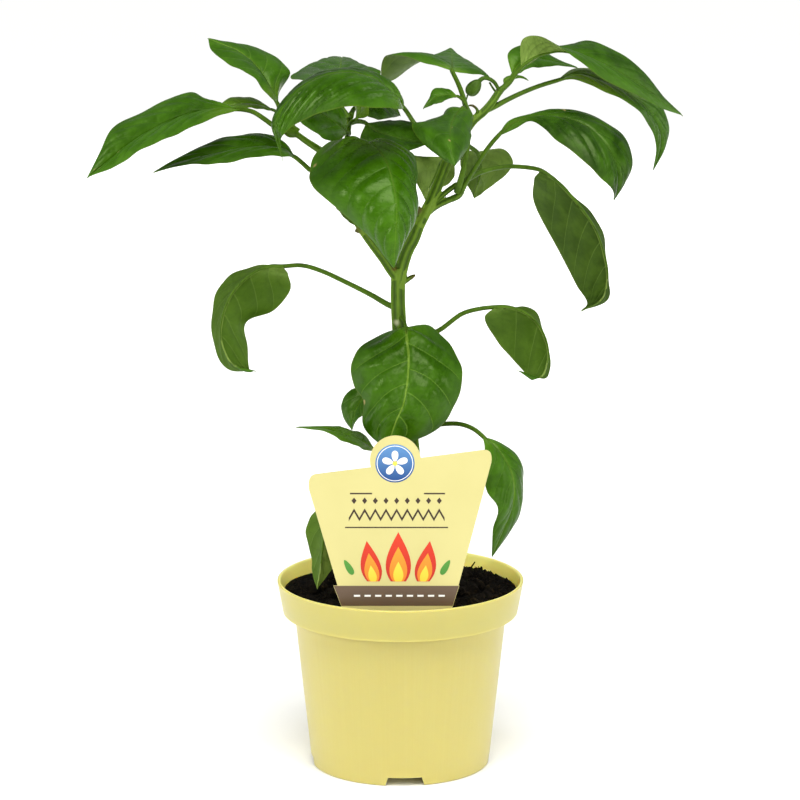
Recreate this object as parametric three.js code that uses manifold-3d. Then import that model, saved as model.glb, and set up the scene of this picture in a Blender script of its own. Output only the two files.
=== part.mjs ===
// A chilli pepper plant in a round nursery pot, with a plant label, in millimetres, +Z up.
// The origin is on the surface that the pot stands on, under the pot's axis. -Y is the front.
import * as THREE from "three";
import { mergeGeometries, mergeVertices } from "three/addons/utils/BufferGeometryUtils.js";
import Module from "manifold-3d";

const wasm = await Module();
wasm.setup();

// ---- Driving dimensions ----
const CLEAR = 0.3; // gap left between a piece and what holds it

const POT = {
  height: 93,
  rimRadius: 60.9, // outer radius at the very top
  lipRadius: 58, // outer radius at the lower lip of the collar
  collarHeight: 16,
  neckRadius: 52.6, // outer radius of the body just under the collar
  footRadius: 44.1,
  wall: 1.2,
  edge: 0.4, // rounding of the rim, the lip and the foot
  footHeight: 4.5, // the floor stands this high on a ring
  footWall: 2,
  facets: 40,
  notchHeight: 4.2,
  notchFoot: 19.7, // width of a notch at the ground
  notchHead: 16.6, // and at its top
  notchReach: 12, // how far a notch is cut inwards and outwards
  notchTurn: 2.9, // degrees from the front to the first of the four notches
  drainHoles: 6,
  drainRadius: 4,
  drainCircle: 27,
};

const SOIL = {
  edgeDrop: 9, // below the rim, at the back wall
  heapHeight: 4, // how far the middle stands above the edge
  sideRise: 4, // the left and right edges lie this much higher
  lump: 1.3,
  wallGap: 0.55, // to the pot's wall, at the soil's corners
  rings: 6,
  spokes: 30,
};

const LABEL = {
  plane: -46, // front-to-back place of the card's middle
  thickness: 0.8,
  topLeft: [-40.2, 157.1],
  topRight: [39.3, 168.9],
  leftCorner: [-43.8, 149.5],
  rightCorner: [43.5, 162.6],
  waistLeft: [-30.3, 101.8],
  waistRight: [28, 101.8],
  bandLeft: [-32.3, 101.8],
  bandRight: [28.4, 101.8],
  footLeft: [-26.5, 86],
  footRight: [23.6, 86],
  tabCentre: [-2.4, 163.8],
  tabRadius: 12.2,
  tabLeft: [-14.6, 160.3],
  tabRight: [9.8, 165],
  stakeWidth: 18,
  stakeBottom: 52,
  stakePoint: 12,
};

const STEM = { thick: 2, sides: 8, twigSides: 6 };

const LEAF = {
  thickness: 0.7,
  neck: 1, // half width where the blade meets its stalk
  tip: 0.35, // half width at the very tip
  bow: 0.1, // how far each half bulges, as a share of its width
  wave: 0.07, // how far the margin waves, as a share of its width
  waves: 2.3, // waves along one margin
  sideShift: 0.37, // waves that the right margin is ahead of the left one
  nextShift: 0.17, // waves that each leaf is ahead of the leaf before it
  stalkRadius: 1.3,
  stalkEnd: 0.7, // radius where the stalk has sunk into the blade's underside
  stalkReach: 0.25, // share of the blade that it runs under
  stalkSides: 5,
  stalkSunk: 0.6, // depth of its middle line under the blade's middle surface
  smallHalf: 12, // a leaf narrower than this on each side has fewer facets
  smallStalk: 0.7, // and a thinner stalk, by this share
};

// The plant is laid out as it is seen from the front, by an eye this far in front of the stem and
// this far up. A point is [across, depth, up]: across and up are where the line of sight meets the
// plane through the stem, and depth moves the point along that line, + away from the eye.
const EYE = { back: 1810, up: 579.5 };

// ---- The leaves ----
// stalk: from the stem to the base of the blade. rib: the midrib, from there to the tip.
// left and right: the margins as [across, up], one for each point of the midrib before the tip,
// named as on a blade that is seen from above with its tip away. half: the half widths at the
// widest. turn: whether that half leans away from the eye (1) or towards it (-1).
// profile: the share of the half width at each of those points. A margin point with three
// numbers gives its own depth from the midrib in the middle.
const PROFILES = {
  3: [0.8, 1, 0.6],
  4: [0.75, 1, 0.9, 0.55],
  5: [0.7, 0.98, 1, 0.75, 0.42],
  6: [0.65, 0.95, 1, 0.85, 0.6, 0.32],
};
const LEAVES = {
  leaf_far_left: {
    stalk: [
      [-50, -11.6, 314.8], [-55.6, -14.4, 316.4], [-60.8, -15, 318.4], [-65.6, -15.6, 321.8],
      [-71, -16, 325.2], [-76.6, -18, 326.4],
    ],
    rib: [
      [-88.2, -26, 326.6], [-103.2, -42, 323.6], [-118.2, -58, 317.4], [-131.8, -72, 308.6],
      [-142, -82, 300.4], [-151.4, -90, 293.2],
    ],
    left: [[-88.8, 322.4], [-103.2, 317.2], [-115.8, 310.2], [-128.4, 304.8], [-139.2, 298]],
    right: [[-90.6, 331], [-101.2, 334.2], [-119.8, 327.4], [-138.4, 317.8], [-144.6, 306.2]],
    half: [19, 19],
    turn: [-1, 1],
  },
  leaf_far_left_small: {
    stalk: [[-50.2, -7, 316], [-53.6, -2, 320.8], [-57.4, 0, 324], [-61.8, 2, 326.4]],
    rib: [[-66, 4, 327.6], [-71.8, 6, 328.8], [-77.6, 8, 329], [-83, 10, 328], [-88.8, 12, 326.6]],
    left: [[-66.2, 326.8], [-71.8, 327], [-77.6, 326.2], [-82.4, 325.6]],
    right: [[-66.6, 329.6], [-72.4, 332.2], [-78.6, 332.6], [-83.8, 331]],
    half: [9, 9],
    turn: [-1, 1],
  },
  leaf_up_left: {
    stalk: [[-49.4, -9, 315.6], [-53.6, -9.6, 319], [-57.4, -11, 323.2], [-58.8, -12.4, 328.6]],
    rib: [
      [-61.2, -11, 334.4], [-66.4, -5, 343.6], [-71.2, 2, 349.6], [-77.8, 9, 354.6], [-86, 14, 358],
      [-92.2, 18, 360.8],
    ],
    left: [[-63.6, 333.8], [-69.8, 340.6], [-78, 346], [-85.6, 350.8], [-90.8, 355]],
    right: [[-58.4, 334.8], [-53, 344], [-59.2, 351.8], [-72.2, 356.6], [-83.6, 359]],
    half: [15, 16],
    turn: [-1, 1],
  },
  leaf_low_left: {
    stalk: [
      [-29.6, 0, 299], [-36.4, 2, 295.4], [-42.6, 1, 296.4], [-47.4, -1, 300.4], [-50.8, -3, 303.2],
    ],
    rib: [
      [-56.6, -7, 306.6], [-66.8, -14, 308.2], [-81.2, -24, 306.2], [-95.2, -33, 303],
      [-108.4, -41, 299.4], [-119.4, -47, 295.8],
    ],
    left: [[-56.2, 303.8], [-67.8, 302.8], [-82.2, 301.4], [-94.4, 299.6], [-107.4, 298.6]],
    right: [[-56.2, 310.2], [-65.8, 315.2], [-79.6, 313.6], [-94.2, 309.2], [-107.2, 303.2]],
    half: [18, 18],
    turn: [-1, 1],
  },
  leaf_left_front: {
    stalk: [[23, 2, 301.8], [18.2, -8, 306.6], [12.8, -16, 312.8], [7.6, -22, 318.4], [2, -31, 326.6]],
    rib: [
      [-3.6, -39, 333.4], [-11.8, -46, 340.6], [-24.2, -56, 344.4], [-38.6, -66, 342],
      [-51.2, -75, 333.4], [-59.4, -81, 320.8], [-59, -83, 311.6], [-56.6, -84, 301.4],
    ],
    left: [
      [-2.2, 326.8], [-12.8, 326.8], [-27.6, 327.6], [-39.6, 324.6], [-48.8, 319.8], [-56, 314.4],
      [-57.8, 311],
    ],
    right: [
      [0.2, 332.4], [-6.4, 338.6], [-22.2, 342], [-38.6, 339.6], [-52.2, 331.4], [-61.4, 318.8],
      [-60.2, 311.6],
    ],
    half: [24, 22],
    turn: [-1, 1],
    profile: [0.62, 0.95, 1, 0.9, 0.68, 0.36, 0.05],
  },
  leaf_back_left: {
    stalk: [[-25, -8, 322.2], [-27.8, -6, 326.6], [-29.8, -5, 330.4], [-30, -6, 333.4]],
    rib: [[-29.8, -2, 337.8], [-29, 20, 345], [-28.4, 42, 350.6], [-28.2, 62, 351.4], [-28, 84, 347.4]],
    left: [[-42.4, 338.2], [-52.8, 343.2], [-46.8, 345], [-38.2, 348]],
    right: [[-16.6, 338.6], [-9.4, 343.8], [-15.6, 345], [-20.4, 346]],
    half: [24, 21],
    turn: [-1, -1],
  },
  leaf_left_inner: {
    stalk: [[-25.2, -7, 315], [-25.8, -12, 315]],
    rib: [
      [-28.6, -20, 317.8], [-34.8, -30, 322.2], [-41.6, -40, 326.2], [-47.4, -47, 328.6],
      [-52.2, -50, 328.6],
    ],
    left: [[-30, 311.6], [-36.4, 312], [-43, 316.2], [-48.4, 321.2]],
    right: [[-26.6, 325.2], [-32.4, 331], [-39.6, 332.8], [-45.8, 332.4]],
    half: [15, 15],
    turn: [-1, 1],
  },
  leaf_middle_back: {
    stalk: [[-24.2, -5, 322.8], [-23.2, 2, 325.2], [-22, 7, 327]],
    rib: [[-18.4, 12, 329.6], [-11.8, 20, 330], [-5.4, 26, 328], [0.2, 32, 323.4]],
    left: [[-18.4, 334.4], [-11.8, 335.8], [-5, 332.8]],
    right: [[-19.4, 324.2], [-10.8, 321.8], [-4.6, 322.2]],
    half: [13, 13],
    turn: [1, -1],
    profile: [0.8, 1, 0.6],
  },
  leaf_middle_pale: {
    stalk: [[-25.4, -6, 317.4], [-23.8, -10, 320.2], [-21.4, -12, 321.8]],
    rib: [[-19.4, -13, 325.2], [-18.4, -15, 329.6], [-18, -16, 333.8], [-17.4, -18, 337.2]],
    left: [[-21.4, 326.2], [-21.8, 330], [-19.8, 334.4]],
    right: [[-15.6, 323.2], [-15.6, 328.6], [-16, 332.8]],
    half: [7, 7],
    turn: [1, -1],
    profile: [0.9, 1, 0.6],
  },
  leaf_front_large: {
    stalk: [[-23.4, -5, 284.2], [-24.4, 8, 292], [-22, 12, 298], [-18, 6, 301.8]],
    rib: [
      [-14.6, -20, 310.2], [-8, -40, 303.2], [-3.6, -55, 291], [-1.8, -64, 277.4], [-2.4, -68, 263.6],
      [-3.2, -66, 248.8],
    ],
    left: [[0.2, 308.4], [6.6, 301.4], [8.8, 291], [8.2, 277], [3.2, 264.2]],
    right: [[-35.8, 309.2], [-44.6, 300.2], [-44.2, 288.6], [-27, 277.6], [-14.2, 264.2]],
    half: [30, 41],
    turn: [1, 1],
    profile: [0.75, 0.98, 1, 0.74, 0.38],
  },
  leaf_heart: {
    stalk: [
      [27.4, 3, 286.2], [29.6, -1, 294], [31.6, -1, 302.8], [32.6, -2, 311.6], [32, -3, 321.2],
      [30.2, -10, 327],
    ],
    rib: [
      [27.8, -22, 325.6], [24.8, -38, 320.8], [23.8, -52, 314], [24.4, -61, 307.2], [25.4, -65, 302.4],
      [26.2, -67, 299],
    ],
    left: [[33, 325.4], [35, 319.8], [34, 314], [30.6, 307.2], [28.2, 302]],
    right: [[22, 325.2], [11.8, 319.6], [6.4, 315], [14.2, 308], [21, 302.8]],
    half: [21, 24],
    turn: [1, 1],
    profile: [0.7, 1, 0.95, 0.6, 0.3],
  },
  leaf_back_dark: {
    stalk: [[-25, -6, 319.8], [-20.4, 4, 320.6], [-16.6, 12, 319.8]],
    rib: [[-11.8, 16, 316], [-5, 20, 313.6], [1.8, 22, 311.6], [8.4, 24, 310.2], [14.8, 25, 310.2]],
    left: [[-8.8, 320.6], [-2.2, 321.6], [5.2, 319.8], [10.8, 315.4]],
    right: [[-19, 312], [-10.8, 306.6], [-1.6, 305.2], [5.2, 306.4]],
    half: [16, 16],
    turn: [1, -1],
  },
  leaf_inner_right: {
    stalk: [[19.6, 4, 294], [22, 12, 299], [22.4, 20, 303.2]],
    rib: [[19.2, 25, 300.4], [17.2, 26, 295.4], [14.8, 24, 290.2], [12.8, 21, 285.8], [12.2, 18, 281.6]],
    left: [[11.4, 303.6], [4.2, 303.8], [5.6, 296], [8.6, 289.2]],
    right: [[24.8, 301.8], [26.8, 296], [23.4, 290.6], [16.2, 286.2]],
    half: [17, 14],
    turn: [1, 1],
  },
  leaf_right_inner: {
    stalk: [[27.2, 7, 311], [30.2, 14, 310.6], [33.6, 20, 308.2], [37, 23, 305.8]],
    rib: [[38, 26, 302.8], [39, 28, 298], [38, 27, 292], [36.6, 24, 287.2], [35.6, 21, 283]],
    left: [[30.2, 305.8], [28.8, 299], [30.8, 292.6], [33.6, 287.2]],
    right: [[49.4, 307.2], [54.4, 300.8], [48.6, 292.6], [40.8, 286.4]],
    half: [14, 17],
    turn: [1, 1],
  },
  leaf_right_drooping: {
    stalk: [
      [28.4, 5, 288.6], [30.2, 6, 290.6], [37, 10, 295], [43.8, 13, 297.4], [52.4, 16, 298.6],
      [62.6, 19, 298], [67.8, 21, 296.8],
    ],
    rib: [
      [75.6, 26, 291], [86, 34, 279.8], [94.2, 42, 268], [98.8, 48, 254.8], [100.4, 51, 242.4],
      [98, 51, 233.6], [87.8, 46, 227.6],
    ],
    left: [[63.8, 291.6], [64.8, 280.8], [71.6, 267], [78.8, 253.4], [85.8, 240], [90.8, 231.6]],
    right: [[77.6, 291], [87.8, 281.4], [95.8, 269.6], [100.2, 255.8], [101.8, 242.4], [100.4, 233]],
    half: [25, 22],
    turn: [-1, 1],
    profile: [0.7, 0.97, 1, 0.86, 0.62, 0.3],
  },
  leaf_right_glossy: {
    stalk: [
      [25, 3, 282.8], [28.4, 3, 284.8], [31.6, 2, 290.6], [37.2, 1, 299.8], [42.2, 0, 307.6],
      [46.6, 0, 313],
    ],
    rib: [
      [53.8, 0, 319.6], [61.8, -1, 322.8], [71.6, -6, 323.2], [82.2, -11, 321.8], [92.8, -17, 316.4],
      [100.6, -22, 307.2], [104.6, -25, 297], [104.6, -26, 288.6], [103.2, -26, 282],
    ],
    left: [
      [52, 320.8], [61.8, 324], [72, 325.4], [84, 325.6], [97, 321.8], [107.8, 312.6], [111.8, 300.4],
      [108.6, 290.2],
    ],
    right: [
      [55.6, 317.2], [62, 320.6], [69.2, 317.4], [76, 311], [85.6, 303.2], [93.4, 296.2], [99.4, 291],
      [102.6, 287.2],
    ],
    half: [19, 20],
    turn: [1, -1],
    profile: [0.13, 0.17, 0.6, 0.92, 1, 0.86, 0.6, 0.3],
  },
  leaf_right_long: {
    stalk: [
      [40.2, 10, 325.6], [45, 13, 327.6], [52.2, 17, 331.4], [59.4, 20, 334.8], [67, 23, 337.8],
      [74.8, 26, 340.2],
    ],
    rib: [
      [84.4, 32, 343], [96.8, 42, 339.6], [109, 53, 333.8], [119.2, 63, 325.2], [125, 69, 314.4],
      [124.8, 71, 305.2], [121.8, 71, 296.2],
    ],
    left: [[83.4, 346], [97.8, 344.4], [112.2, 338.6], [123.8, 330.4], [129.2, 317.8], [128, 308.2]],
    right: [[84.8, 340.4], [95, 337], [105.6, 331.4], [115.2, 324.6], [121.4, 316], [123.2, 308.2]],
    half: [14, 14],
    turn: [1, -1],
    profile: [0.7, 0.97, 1, 0.86, 0.6, 0.34],
  },
  leaf_top_right: {
    stalk: [[47, 14, 334.8], [52.2, 15, 339.2], [55.6, 15, 344], [57.8, 15, 346.4]],
    rib: [
      [62.6, 16, 350.8], [69.4, 18, 353.6], [78, 20, 354.8], [91, 24, 351.2], [105.4, 32, 344],
      [118, 42, 336.2], [126.8, 51, 329.6], [136, 64, 323.4],
    ],
    left: [
      [65, 14, 349.8], [71.8, 15, 354.2], [78, 14, 357], [89.2, 359.4], [104.4, 353.6], [116.4, 345.4],
      [126.8, 332.4],
    ],
    right: [
      [58.6, -4, 360.4], [66.8, -7, 362], [79.8, -14, 353.6], [87.6, 347.8], [101.2, 339.6],
      [113.8, 333.4], [124.4, 327.4],
    ],
    half: [17, 17],
    turn: [1, -1],
    profile: [0.6, 0.9, 1, 1, 0.85, 0.6, 0.3],
  },
  leaf_top_right_back: {
    stalk: [[44.6, 13, 330], [47.8, 22, 333.8], [51.2, 30, 338.6], [53.6, 34, 343]],
    rib: [[57, 38, 348.4], [62.6, 42, 350.8], [69.8, 46, 350.2], [77, 50, 348.4], [85.2, 56, 346.6]],
    left: [[51.6, 353.4], [59.2, 357.8], [70.4, 353.4], [78, 349.4]],
    right: [[57.8, 344.4], [62.6, 346.2], [69.4, 347.2], [77, 347.2]],
    half: [11, 11],
    turn: [1, -1],
  },
  leaf_bud_right: {
    stalk: [[48.2, 17, 335.4], [49.8, 19, 338.2]],
    rib: [[50.8, 19.6, 340.6], [54.6, 21, 342], [58, 22, 342], [61.6, 23, 340.6]],
    left: [[49.6, 341.4], [54, 342.8], [58, 342.6]],
    right: [[52.6, 339.6], [55, 341.2], [58, 341.4]],
    half: [3.5, 3.5],
    turn: [1, -1],
    profile: [0.9, 1, 0.6],
  },
  leaf_top_middle: {
    stalk: [[32, 5, 318.4], [31.6, 2, 327], [29.2, 0, 335.4], [27.2, 0, 340.2], [24.8, 0, 345]],
    rib: [[24.8, 10, 347.2], [24.8, 24, 349.8], [24.8, 38, 352.2], [24.6, 50, 353.8], [24.2, 62, 356.2]],
    left: [[12.8, -3, 349], [-6.4, -8, 351.4], [-7.8, -4, 340.4], [10.4, -2, 348.8]],
    right: [[33.8, -3, 343.2], [42.8, -6, 342.8], [37.2, -4, 345.6], [29.6, -1, 351.2]],
    half: [32, 19],
    turn: [-1, -1],
  },
  leaf_small_top: {
    stalk: [[34.4, 3, 322.2], [32, -4, 327.6], [29.6, -5, 331.4], [27.2, -6, 332.8]],
    rib: [[23.8, -7, 332.8], [19.6, -9, 332.4], [16, -12, 330.8], [10.8, -15, 326.8]],
    left: [[24.4, 331.6], [19.6, 330.2], [16.6, 329.2]],
    right: [[23.4, 336], [18.6, 337], [14.2, 333.4]],
    half: [7, 7],
    turn: [-1, 1],
    profile: [0.8, 1, 0.6],
  },
  leaf_low_right: {
    stalk: [
      [-0.2, 4, 216.2], [8, 10, 215.2], [17.8, 12, 217.4], [30, 12, 226.2], [38.2, 12, 228.6],
      [46.6, 12, 229.6],
    ],
    rib: [
      [54.8, 15, 228.8], [64, 18, 224.2], [70.4, 20, 214.2], [72, 20, 203.8], [68.6, 18, 194.8],
      [57, 12, 198.2],
    ],
    left: [[41.4, 225.2], [46.8, 213.2], [54.4, 204.2], [60.8, 196.8], [64.4, 193.2]],
    right: [[55.8, 229.6], [65, 227.6], [71, 216.2], [72.8, 204.2], [71.2, 194.2]],
    half: [20, 17],
    turn: [-1, 1],
    profile: [0.8, 1, 0.9, 0.62, 0.25],
  },
  leaf_mid_left: {
    stalk: [
      [-1.6, 0, 229.6], [-4.6, 0, 230.2], [-14.8, 1, 236], [-27, 2, 242.2], [-38.6, 4, 247.6],
      [-47.8, 5, 250.2], [-57, 6, 249.8],
    ],
    rib: [
      [-66.2, 9, 248.8], [-76.4, 12, 242.4], [-83.4, 14, 233], [-86.8, 14, 222.2], [-87, 12, 211.8],
      [-81.8, 9, 201.2], [-70.6, 4, 197.8],
    ],
    left: [[-69.2, 250.8], [-79.8, 246.6], [-88.4, 238], [-92.6, 224.8], [-90.6, 210.2], [-84.2, 198.8]],
    right: [
      [-54.2, 245.4], [-53.6, 237.6], [-62.4, 227.6], [-74.2, 222.6], [-74.4, 209.8], [-73.4, 197.8],
    ],
    half: [20, 24],
    turn: [1, -1],
    profile: [0.7, 1, 1, 0.8, 0.6, 0.4],
  },
  leaf_front_low: {
    stalk: [[-0.2, -2, 225.2], [1.8, -6, 222.6], [2.8, -10, 219.6]],
    rib: [
      [3.4, -17, 213.2], [3.8, -24, 202.2], [3.2, -29, 190.8], [1.2, -32, 179.2], [-2.2, -33, 169.2],
      [-7, -31, 158.2],
    ],
    left: [[17.4, 220], [27.8, 204.8], [29.8, 192.2], [24.8, 177.8], [12, 164.4]],
    right: [[-10.4, 217.8], [-24.2, 203.2], [-23.2, 190.2], [-16.6, 178.2], [-17.8, 167]],
    half: [28, 28],
    turn: [1, 1],
    profile: [0.72, 1, 1, 0.85, 0.6],
  },
  leaf_low_back: {
    stalk: [[2.2, 3, 187.2], [-4.2, 10, 189.2], [-11, 14, 189.2]],
    rib: [[-17.4, 15, 185.2], [-21.2, 15, 179.2], [-22.8, 13, 173.8], [-23.8, 10, 168.2]],
    left: [[-13, 181.2], [-16.8, 177.2], [-20.8, 173.8]],
    right: [[-23.6, 188.6], [-29, 181.8], [-27.2, 173.2]],
    half: [9, 10],
    turn: [-1, 1],
    profile: [0.9, 1, 0.6],
  },
  leaf_low_left_narrow: {
    stalk: [[6.2, -1, 152.2], [-0.2, -8, 155.6], [-6, -8, 156.6], [-12, -10, 157.6]],
    rib: [[-17.8, -14, 161.6], [-26.6, -25, 165.4], [-36.4, -37, 168.2], [-51.2, -52, 169.8]],
    left: [[-18.4, 158.6], [-26.6, 162.2], [-36, 166.8]],
    right: [[-18.4, 166.2], [-26.2, 169], [-34, 170.2]],
    half: [11, 11],
    turn: [-1, 1],
    profile: [0.9, 1, 0.7],
  },
  leaf_low_right_curled: {
    stalk: [
      [4.8, 3, 167.2], [11.6, 8, 169.8], [19, 6, 171], [28.8, 0, 171.2], [35.6, -5, 168.8],
      [40.4, -9, 165],
    ],
    rib: [
      [46.8, -14, 159.2], [52.8, -18, 150.6], [55.8, -20, 140.6], [55, -20, 129.4], [50.6, -18, 117.6],
      [45, -15, 103.6],
    ],
    left: [[49.8, 161.6], [59.2, 151.6], [60.6, 140.6], [59.2, 128.4], [54, 116.6]],
    right: [[41.2, 157.6], [41, 148], [42.6, 137], [48, 128.8], [45.6, 117.2]],
    half: [13, 14],
    turn: [1, -1],
    profile: [0.7, 1, 1, 0.75, 0.45],
  },
  leaf_hanging_left: {
    stalk: [[6.6, -2, 143], [-2.6, -14, 144], [-17.4, -22, 142], [-27.2, -26, 137], [-32.2, -28, 132]],
    rib: [
      [-35.6, -30, 125.4], [-37.6, -31, 116.2], [-38.6, -31, 106], [-39.8, -29, 96.2],
      [-41.2, -27, 87.6],
    ],
    left: [[-43, 126.6], [-46.2, 118.2], [-44.6, 105.4], [-43.2, 94.8]],
    right: [[-29.2, 121.8], [-29.2, 112], [-31.8, 103], [-35.2, 95.8]],
    half: [12, 12],
    turn: [1, 1],
    profile: [0.8, 1, 0.85, 0.5],
  },
  leaf_back_upper: {
    stalk: [[-17, -1, 266.8], [-16.2, 12, 273], [-18, 28, 280.4]],
    rib: [[-18.6, 42, 282.8], [-19, 60, 283.2], [-19, 76, 280.8], [-18.6, 86, 275.4], [-17.6, 91, 266.6]],
    left: [[-26.4, 281.4], [-31.2, 279.4], [-29.2, 275.4], [-24.4, 271.6]],
    right: [[-10.8, 281.4], [-7, 279.4], [-8, 275.4], [-11.8, 271.6]],
    half: [19, 19],
    turn: [1, 1],
  },
  leaf_back_lower: {
    stalk: [[1.2, 2, 205.2], [1.8, 12, 208.2], [2.8, 26, 209.8]],
    rib: [[3.2, 40, 210.2], [3.8, 58, 208.8], [4.2, 74, 204.2], [5.2, 84, 197.2], [6.6, 90, 187.2]],
    left: [[-6, 208.2], [-11, 205.2], [-8, 200.2], [-2.2, 194.2]],
    right: [[12.4, 208.2], [18.4, 205.2], [16.8, 200.2], [13, 194.2]],
    half: [20, 20],
    turn: [1, 1],
  },
};

// ---- The stem, its branches and shoots: a path, the radius at its start and at its end ----
const LIMBS = [
  { // the main stem, from inside the soil to the fork
    path: [
      [6.8, 0, 56], [6.8, 0, 100], [6.3, 0, 132.7], [5.8, 0, 157.2], [2.8, 0, 183.2], [0.1, 0, 210.7],
      [-0.7, 0, 222.2], [-1.2, 0, 233.2], [-1.1, 0, 242.7], [-0.9, 0, 249.2],
    ],
    radii: [3.7, 3.6],
  },
  { // the left branch
    path: [
      [-1.4, 0, 244.2], [-4.7, -0.5, 248.7], [-7.7, -1, 253.2], [-12.2, -2, 259.2], [-17.2, -2, 266.2],
      [-21.2, -1, 272.7], [-24.2, -1, 280.7], [-27.2, -1, 289.7], [-30.7, -3, 298.2], [-36.2, -5, 304.7],
      [-41.2, -7, 308.2], [-45.7, -9, 311.2], [-50.7, -10, 315],
    ],
    radii: [2.9, 1.4],
  },
  { // its shoot behind the front leaf
    path: [
      [-29.7, -3, 297.2], [-27.7, -5, 305.7], [-25.7, -6, 312.7], [-24.7, -6, 319.2], [-24.7, -6, 322.2],
    ],
    radii: [1.4, 1.3],
  },
  { // the right branch
    path: [
      [-0.7, 0, 244.2], [1.8, 0, 253.7], [3.8, 0.5, 258.7], [6.3, 1, 263.2], [8.8, 1.5, 269.7],
      [11.3, 2, 274.7],
      [14.8, 3, 281.7], [17.3, 4, 287.7], [20.8, 5, 296.7], [23.3, 6, 303.2], [27.3, 6.5, 311.2],
      [31.8, 7, 316.7],
      [35.3, 8, 321.2], [39.8, 10, 325], [43.8, 12, 329.5], [47.4, 14, 335],
    ],
    radii: [3.4, 1.8],
  },
  { // the two side shoots of the right branch, and the knot where they meet
    path: [[12.8, 2, 277.7], [19.3, 3, 283.7], [22.8, 4, 286.7], [27.3, 4, 290]],
    radii: [1.3, 1.3],
  },
  {
    path: [[11.8, 2, 274.7], [17.3, 3, 279.2], [23.3, 3, 282.2], [27.8, 3, 284.2], [29.8, 3.5, 286.7]],
    radii: [1.5, 1.5],
  },
  { path: [[26.6, 4, 290.8], [28.3, 3.5, 287.2], [28.8, 3.5, 284.7]], radii: [1.3, 1.6] },
  // stubs where a leaf or a fruit stalk was lost, and small knobs at the forks
  { path: [[-15.2, -2, 265.2], [-19.2, -2, 266.7], [-22.2, -2, 267.4]], radii: [1.4, 1.2] },
  { path: [[-0.7, 0, 240.2], [3.8, 0, 243.4], [7.3, 0, 245.6]], radii: [1.7, 1.1] },
  { path: [[2, 0, 242.7], [2.8, 0, 247]], radii: [1, 0.7] },
  { path: [[9.3, 1.5, 270.2], [8.7, 1, 274.7], [9.4, 0, 279.2]], radii: [1.6, 1.2] },
  { path: [[-49.2, -9.5, 314.2], [-53.2, -10, 313.7], [-56.2, -10, 315.2]], radii: [1.5, 0.9] },
  { path: [[34.8, 8, 321.2], [37.1, 8, 325.7], [34.8, 8, 328.2], [32.3, 8, 328.2]], radii: [1.6, 1] },
];

// ---- The flower bud at the top of the right branch ----
const BUD = {
  centre: [34.8, 10, 337.2],
  radius: 3.2,
  halfLength: 3.7,
  lean: 0.35, // radians
  stalk: [[46.3, 13, 337.7], [44.8, 12, 340.2], [41.3, 11, 341.7], [37.3, 10, 340.9], [35.2, 10, 338.7]],
  stalkRadius: 1.1,
  second: [[44.8, 13, 336.2], [42.8, 12, 339.4]],
  secondRadius: 0.6,
  style: [[33.8, 10, 334.7], [32.8, 10, 333.2], [31.8, 10, 330.7]],
  styleRadius: 0.45,
};

// ---- Shared builders ----
// A point of the layout in the part's own frame.
function inSpace([across, depth, up]) {
  const reach = 1 + depth / EYE.back;
  return new THREE.Vector3(across * reach, depth, EYE.up + (up - EYE.up) * reach);
}

const curveThrough = (points) => new THREE.CatmullRomCurve3(points, false, "centripetal");

function solidOf(geometry) {
  const bare = geometry.clone();
  bare.deleteAttribute("normal");
  bare.deleteAttribute("uv");
  const merged = mergeVertices(bare, 1e-4);
  const mesh = { numProp: 3, vertProperties: merged.attributes.position.array };
  return new wasm.Manifold(new wasm.Mesh({ ...mesh, triVerts: new Uint32Array(merged.index.array) }));
}

function geometryOf(solid) {
  const { vertProperties, triVerts } = solid.getMesh();
  const geometry = new THREE.BufferGeometry();
  geometry.setAttribute("position", new THREE.BufferAttribute(vertProperties, 3));
  geometry.setIndex(new THREE.BufferAttribute(triVerts, 1));
  return geometry;
}

const joined = (solids) => solids.reduce((sum, solid) => sum.add(solid));

// The shell of a cut solid with the most faces: the scraps of a trimmed stalk's foot are dropped.
function withoutScraps(geometry) {
  const index = geometry.index.array;
  const group = Array.from({ length: geometry.attributes.position.count }, (_, i) => i);
  const head = (v) => {
    while (group[v] !== v) v = group[v] = group[group[v]];
    return v;
  };
  for (let i = 0; i < index.length; i += 3) {
    group[head(index[i + 1])] = head(index[i]);
    group[head(index[i + 2])] = head(index[i]);
  }
  const faces = new Map();
  for (let i = 0; i < index.length; i += 3) {
    const key = head(index[i]);
    if (!faces.has(key)) faces.set(key, []);
    faces.get(key).push(index[i], index[i + 1], index[i + 2]);
  }
  geometry.setIndex([...faces.values()].reduce((a, b) => (a.length > b.length ? a : b)));
  return geometry;
}

// A closed skin over rings of points: each ring is an array of Vector3, all of the same count.
function skin(rings) {
  const sides = rings[0].length;
  const points = rings.flat();
  const faces = [];
  for (let i = 0; i + 1 < rings.length; i++) {
    for (let j = 0; j < sides; j++) {
      const a = i * sides + j;
      const b = i * sides + ((j + 1) % sides);
      faces.push(a, b, b + sides, a, b + sides, a + sides);
    }
  }
  const last = (rings.length - 1) * sides;
  for (let j = 1; j + 1 < sides; j++) {
    faces.push(0, j + 1, j);
    faces.push(last, last + j, last + j + 1);
  }
  const geometry = new THREE.BufferGeometry().setFromPoints(points);
  geometry.setIndex(faces);
  return geometry;
}

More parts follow.
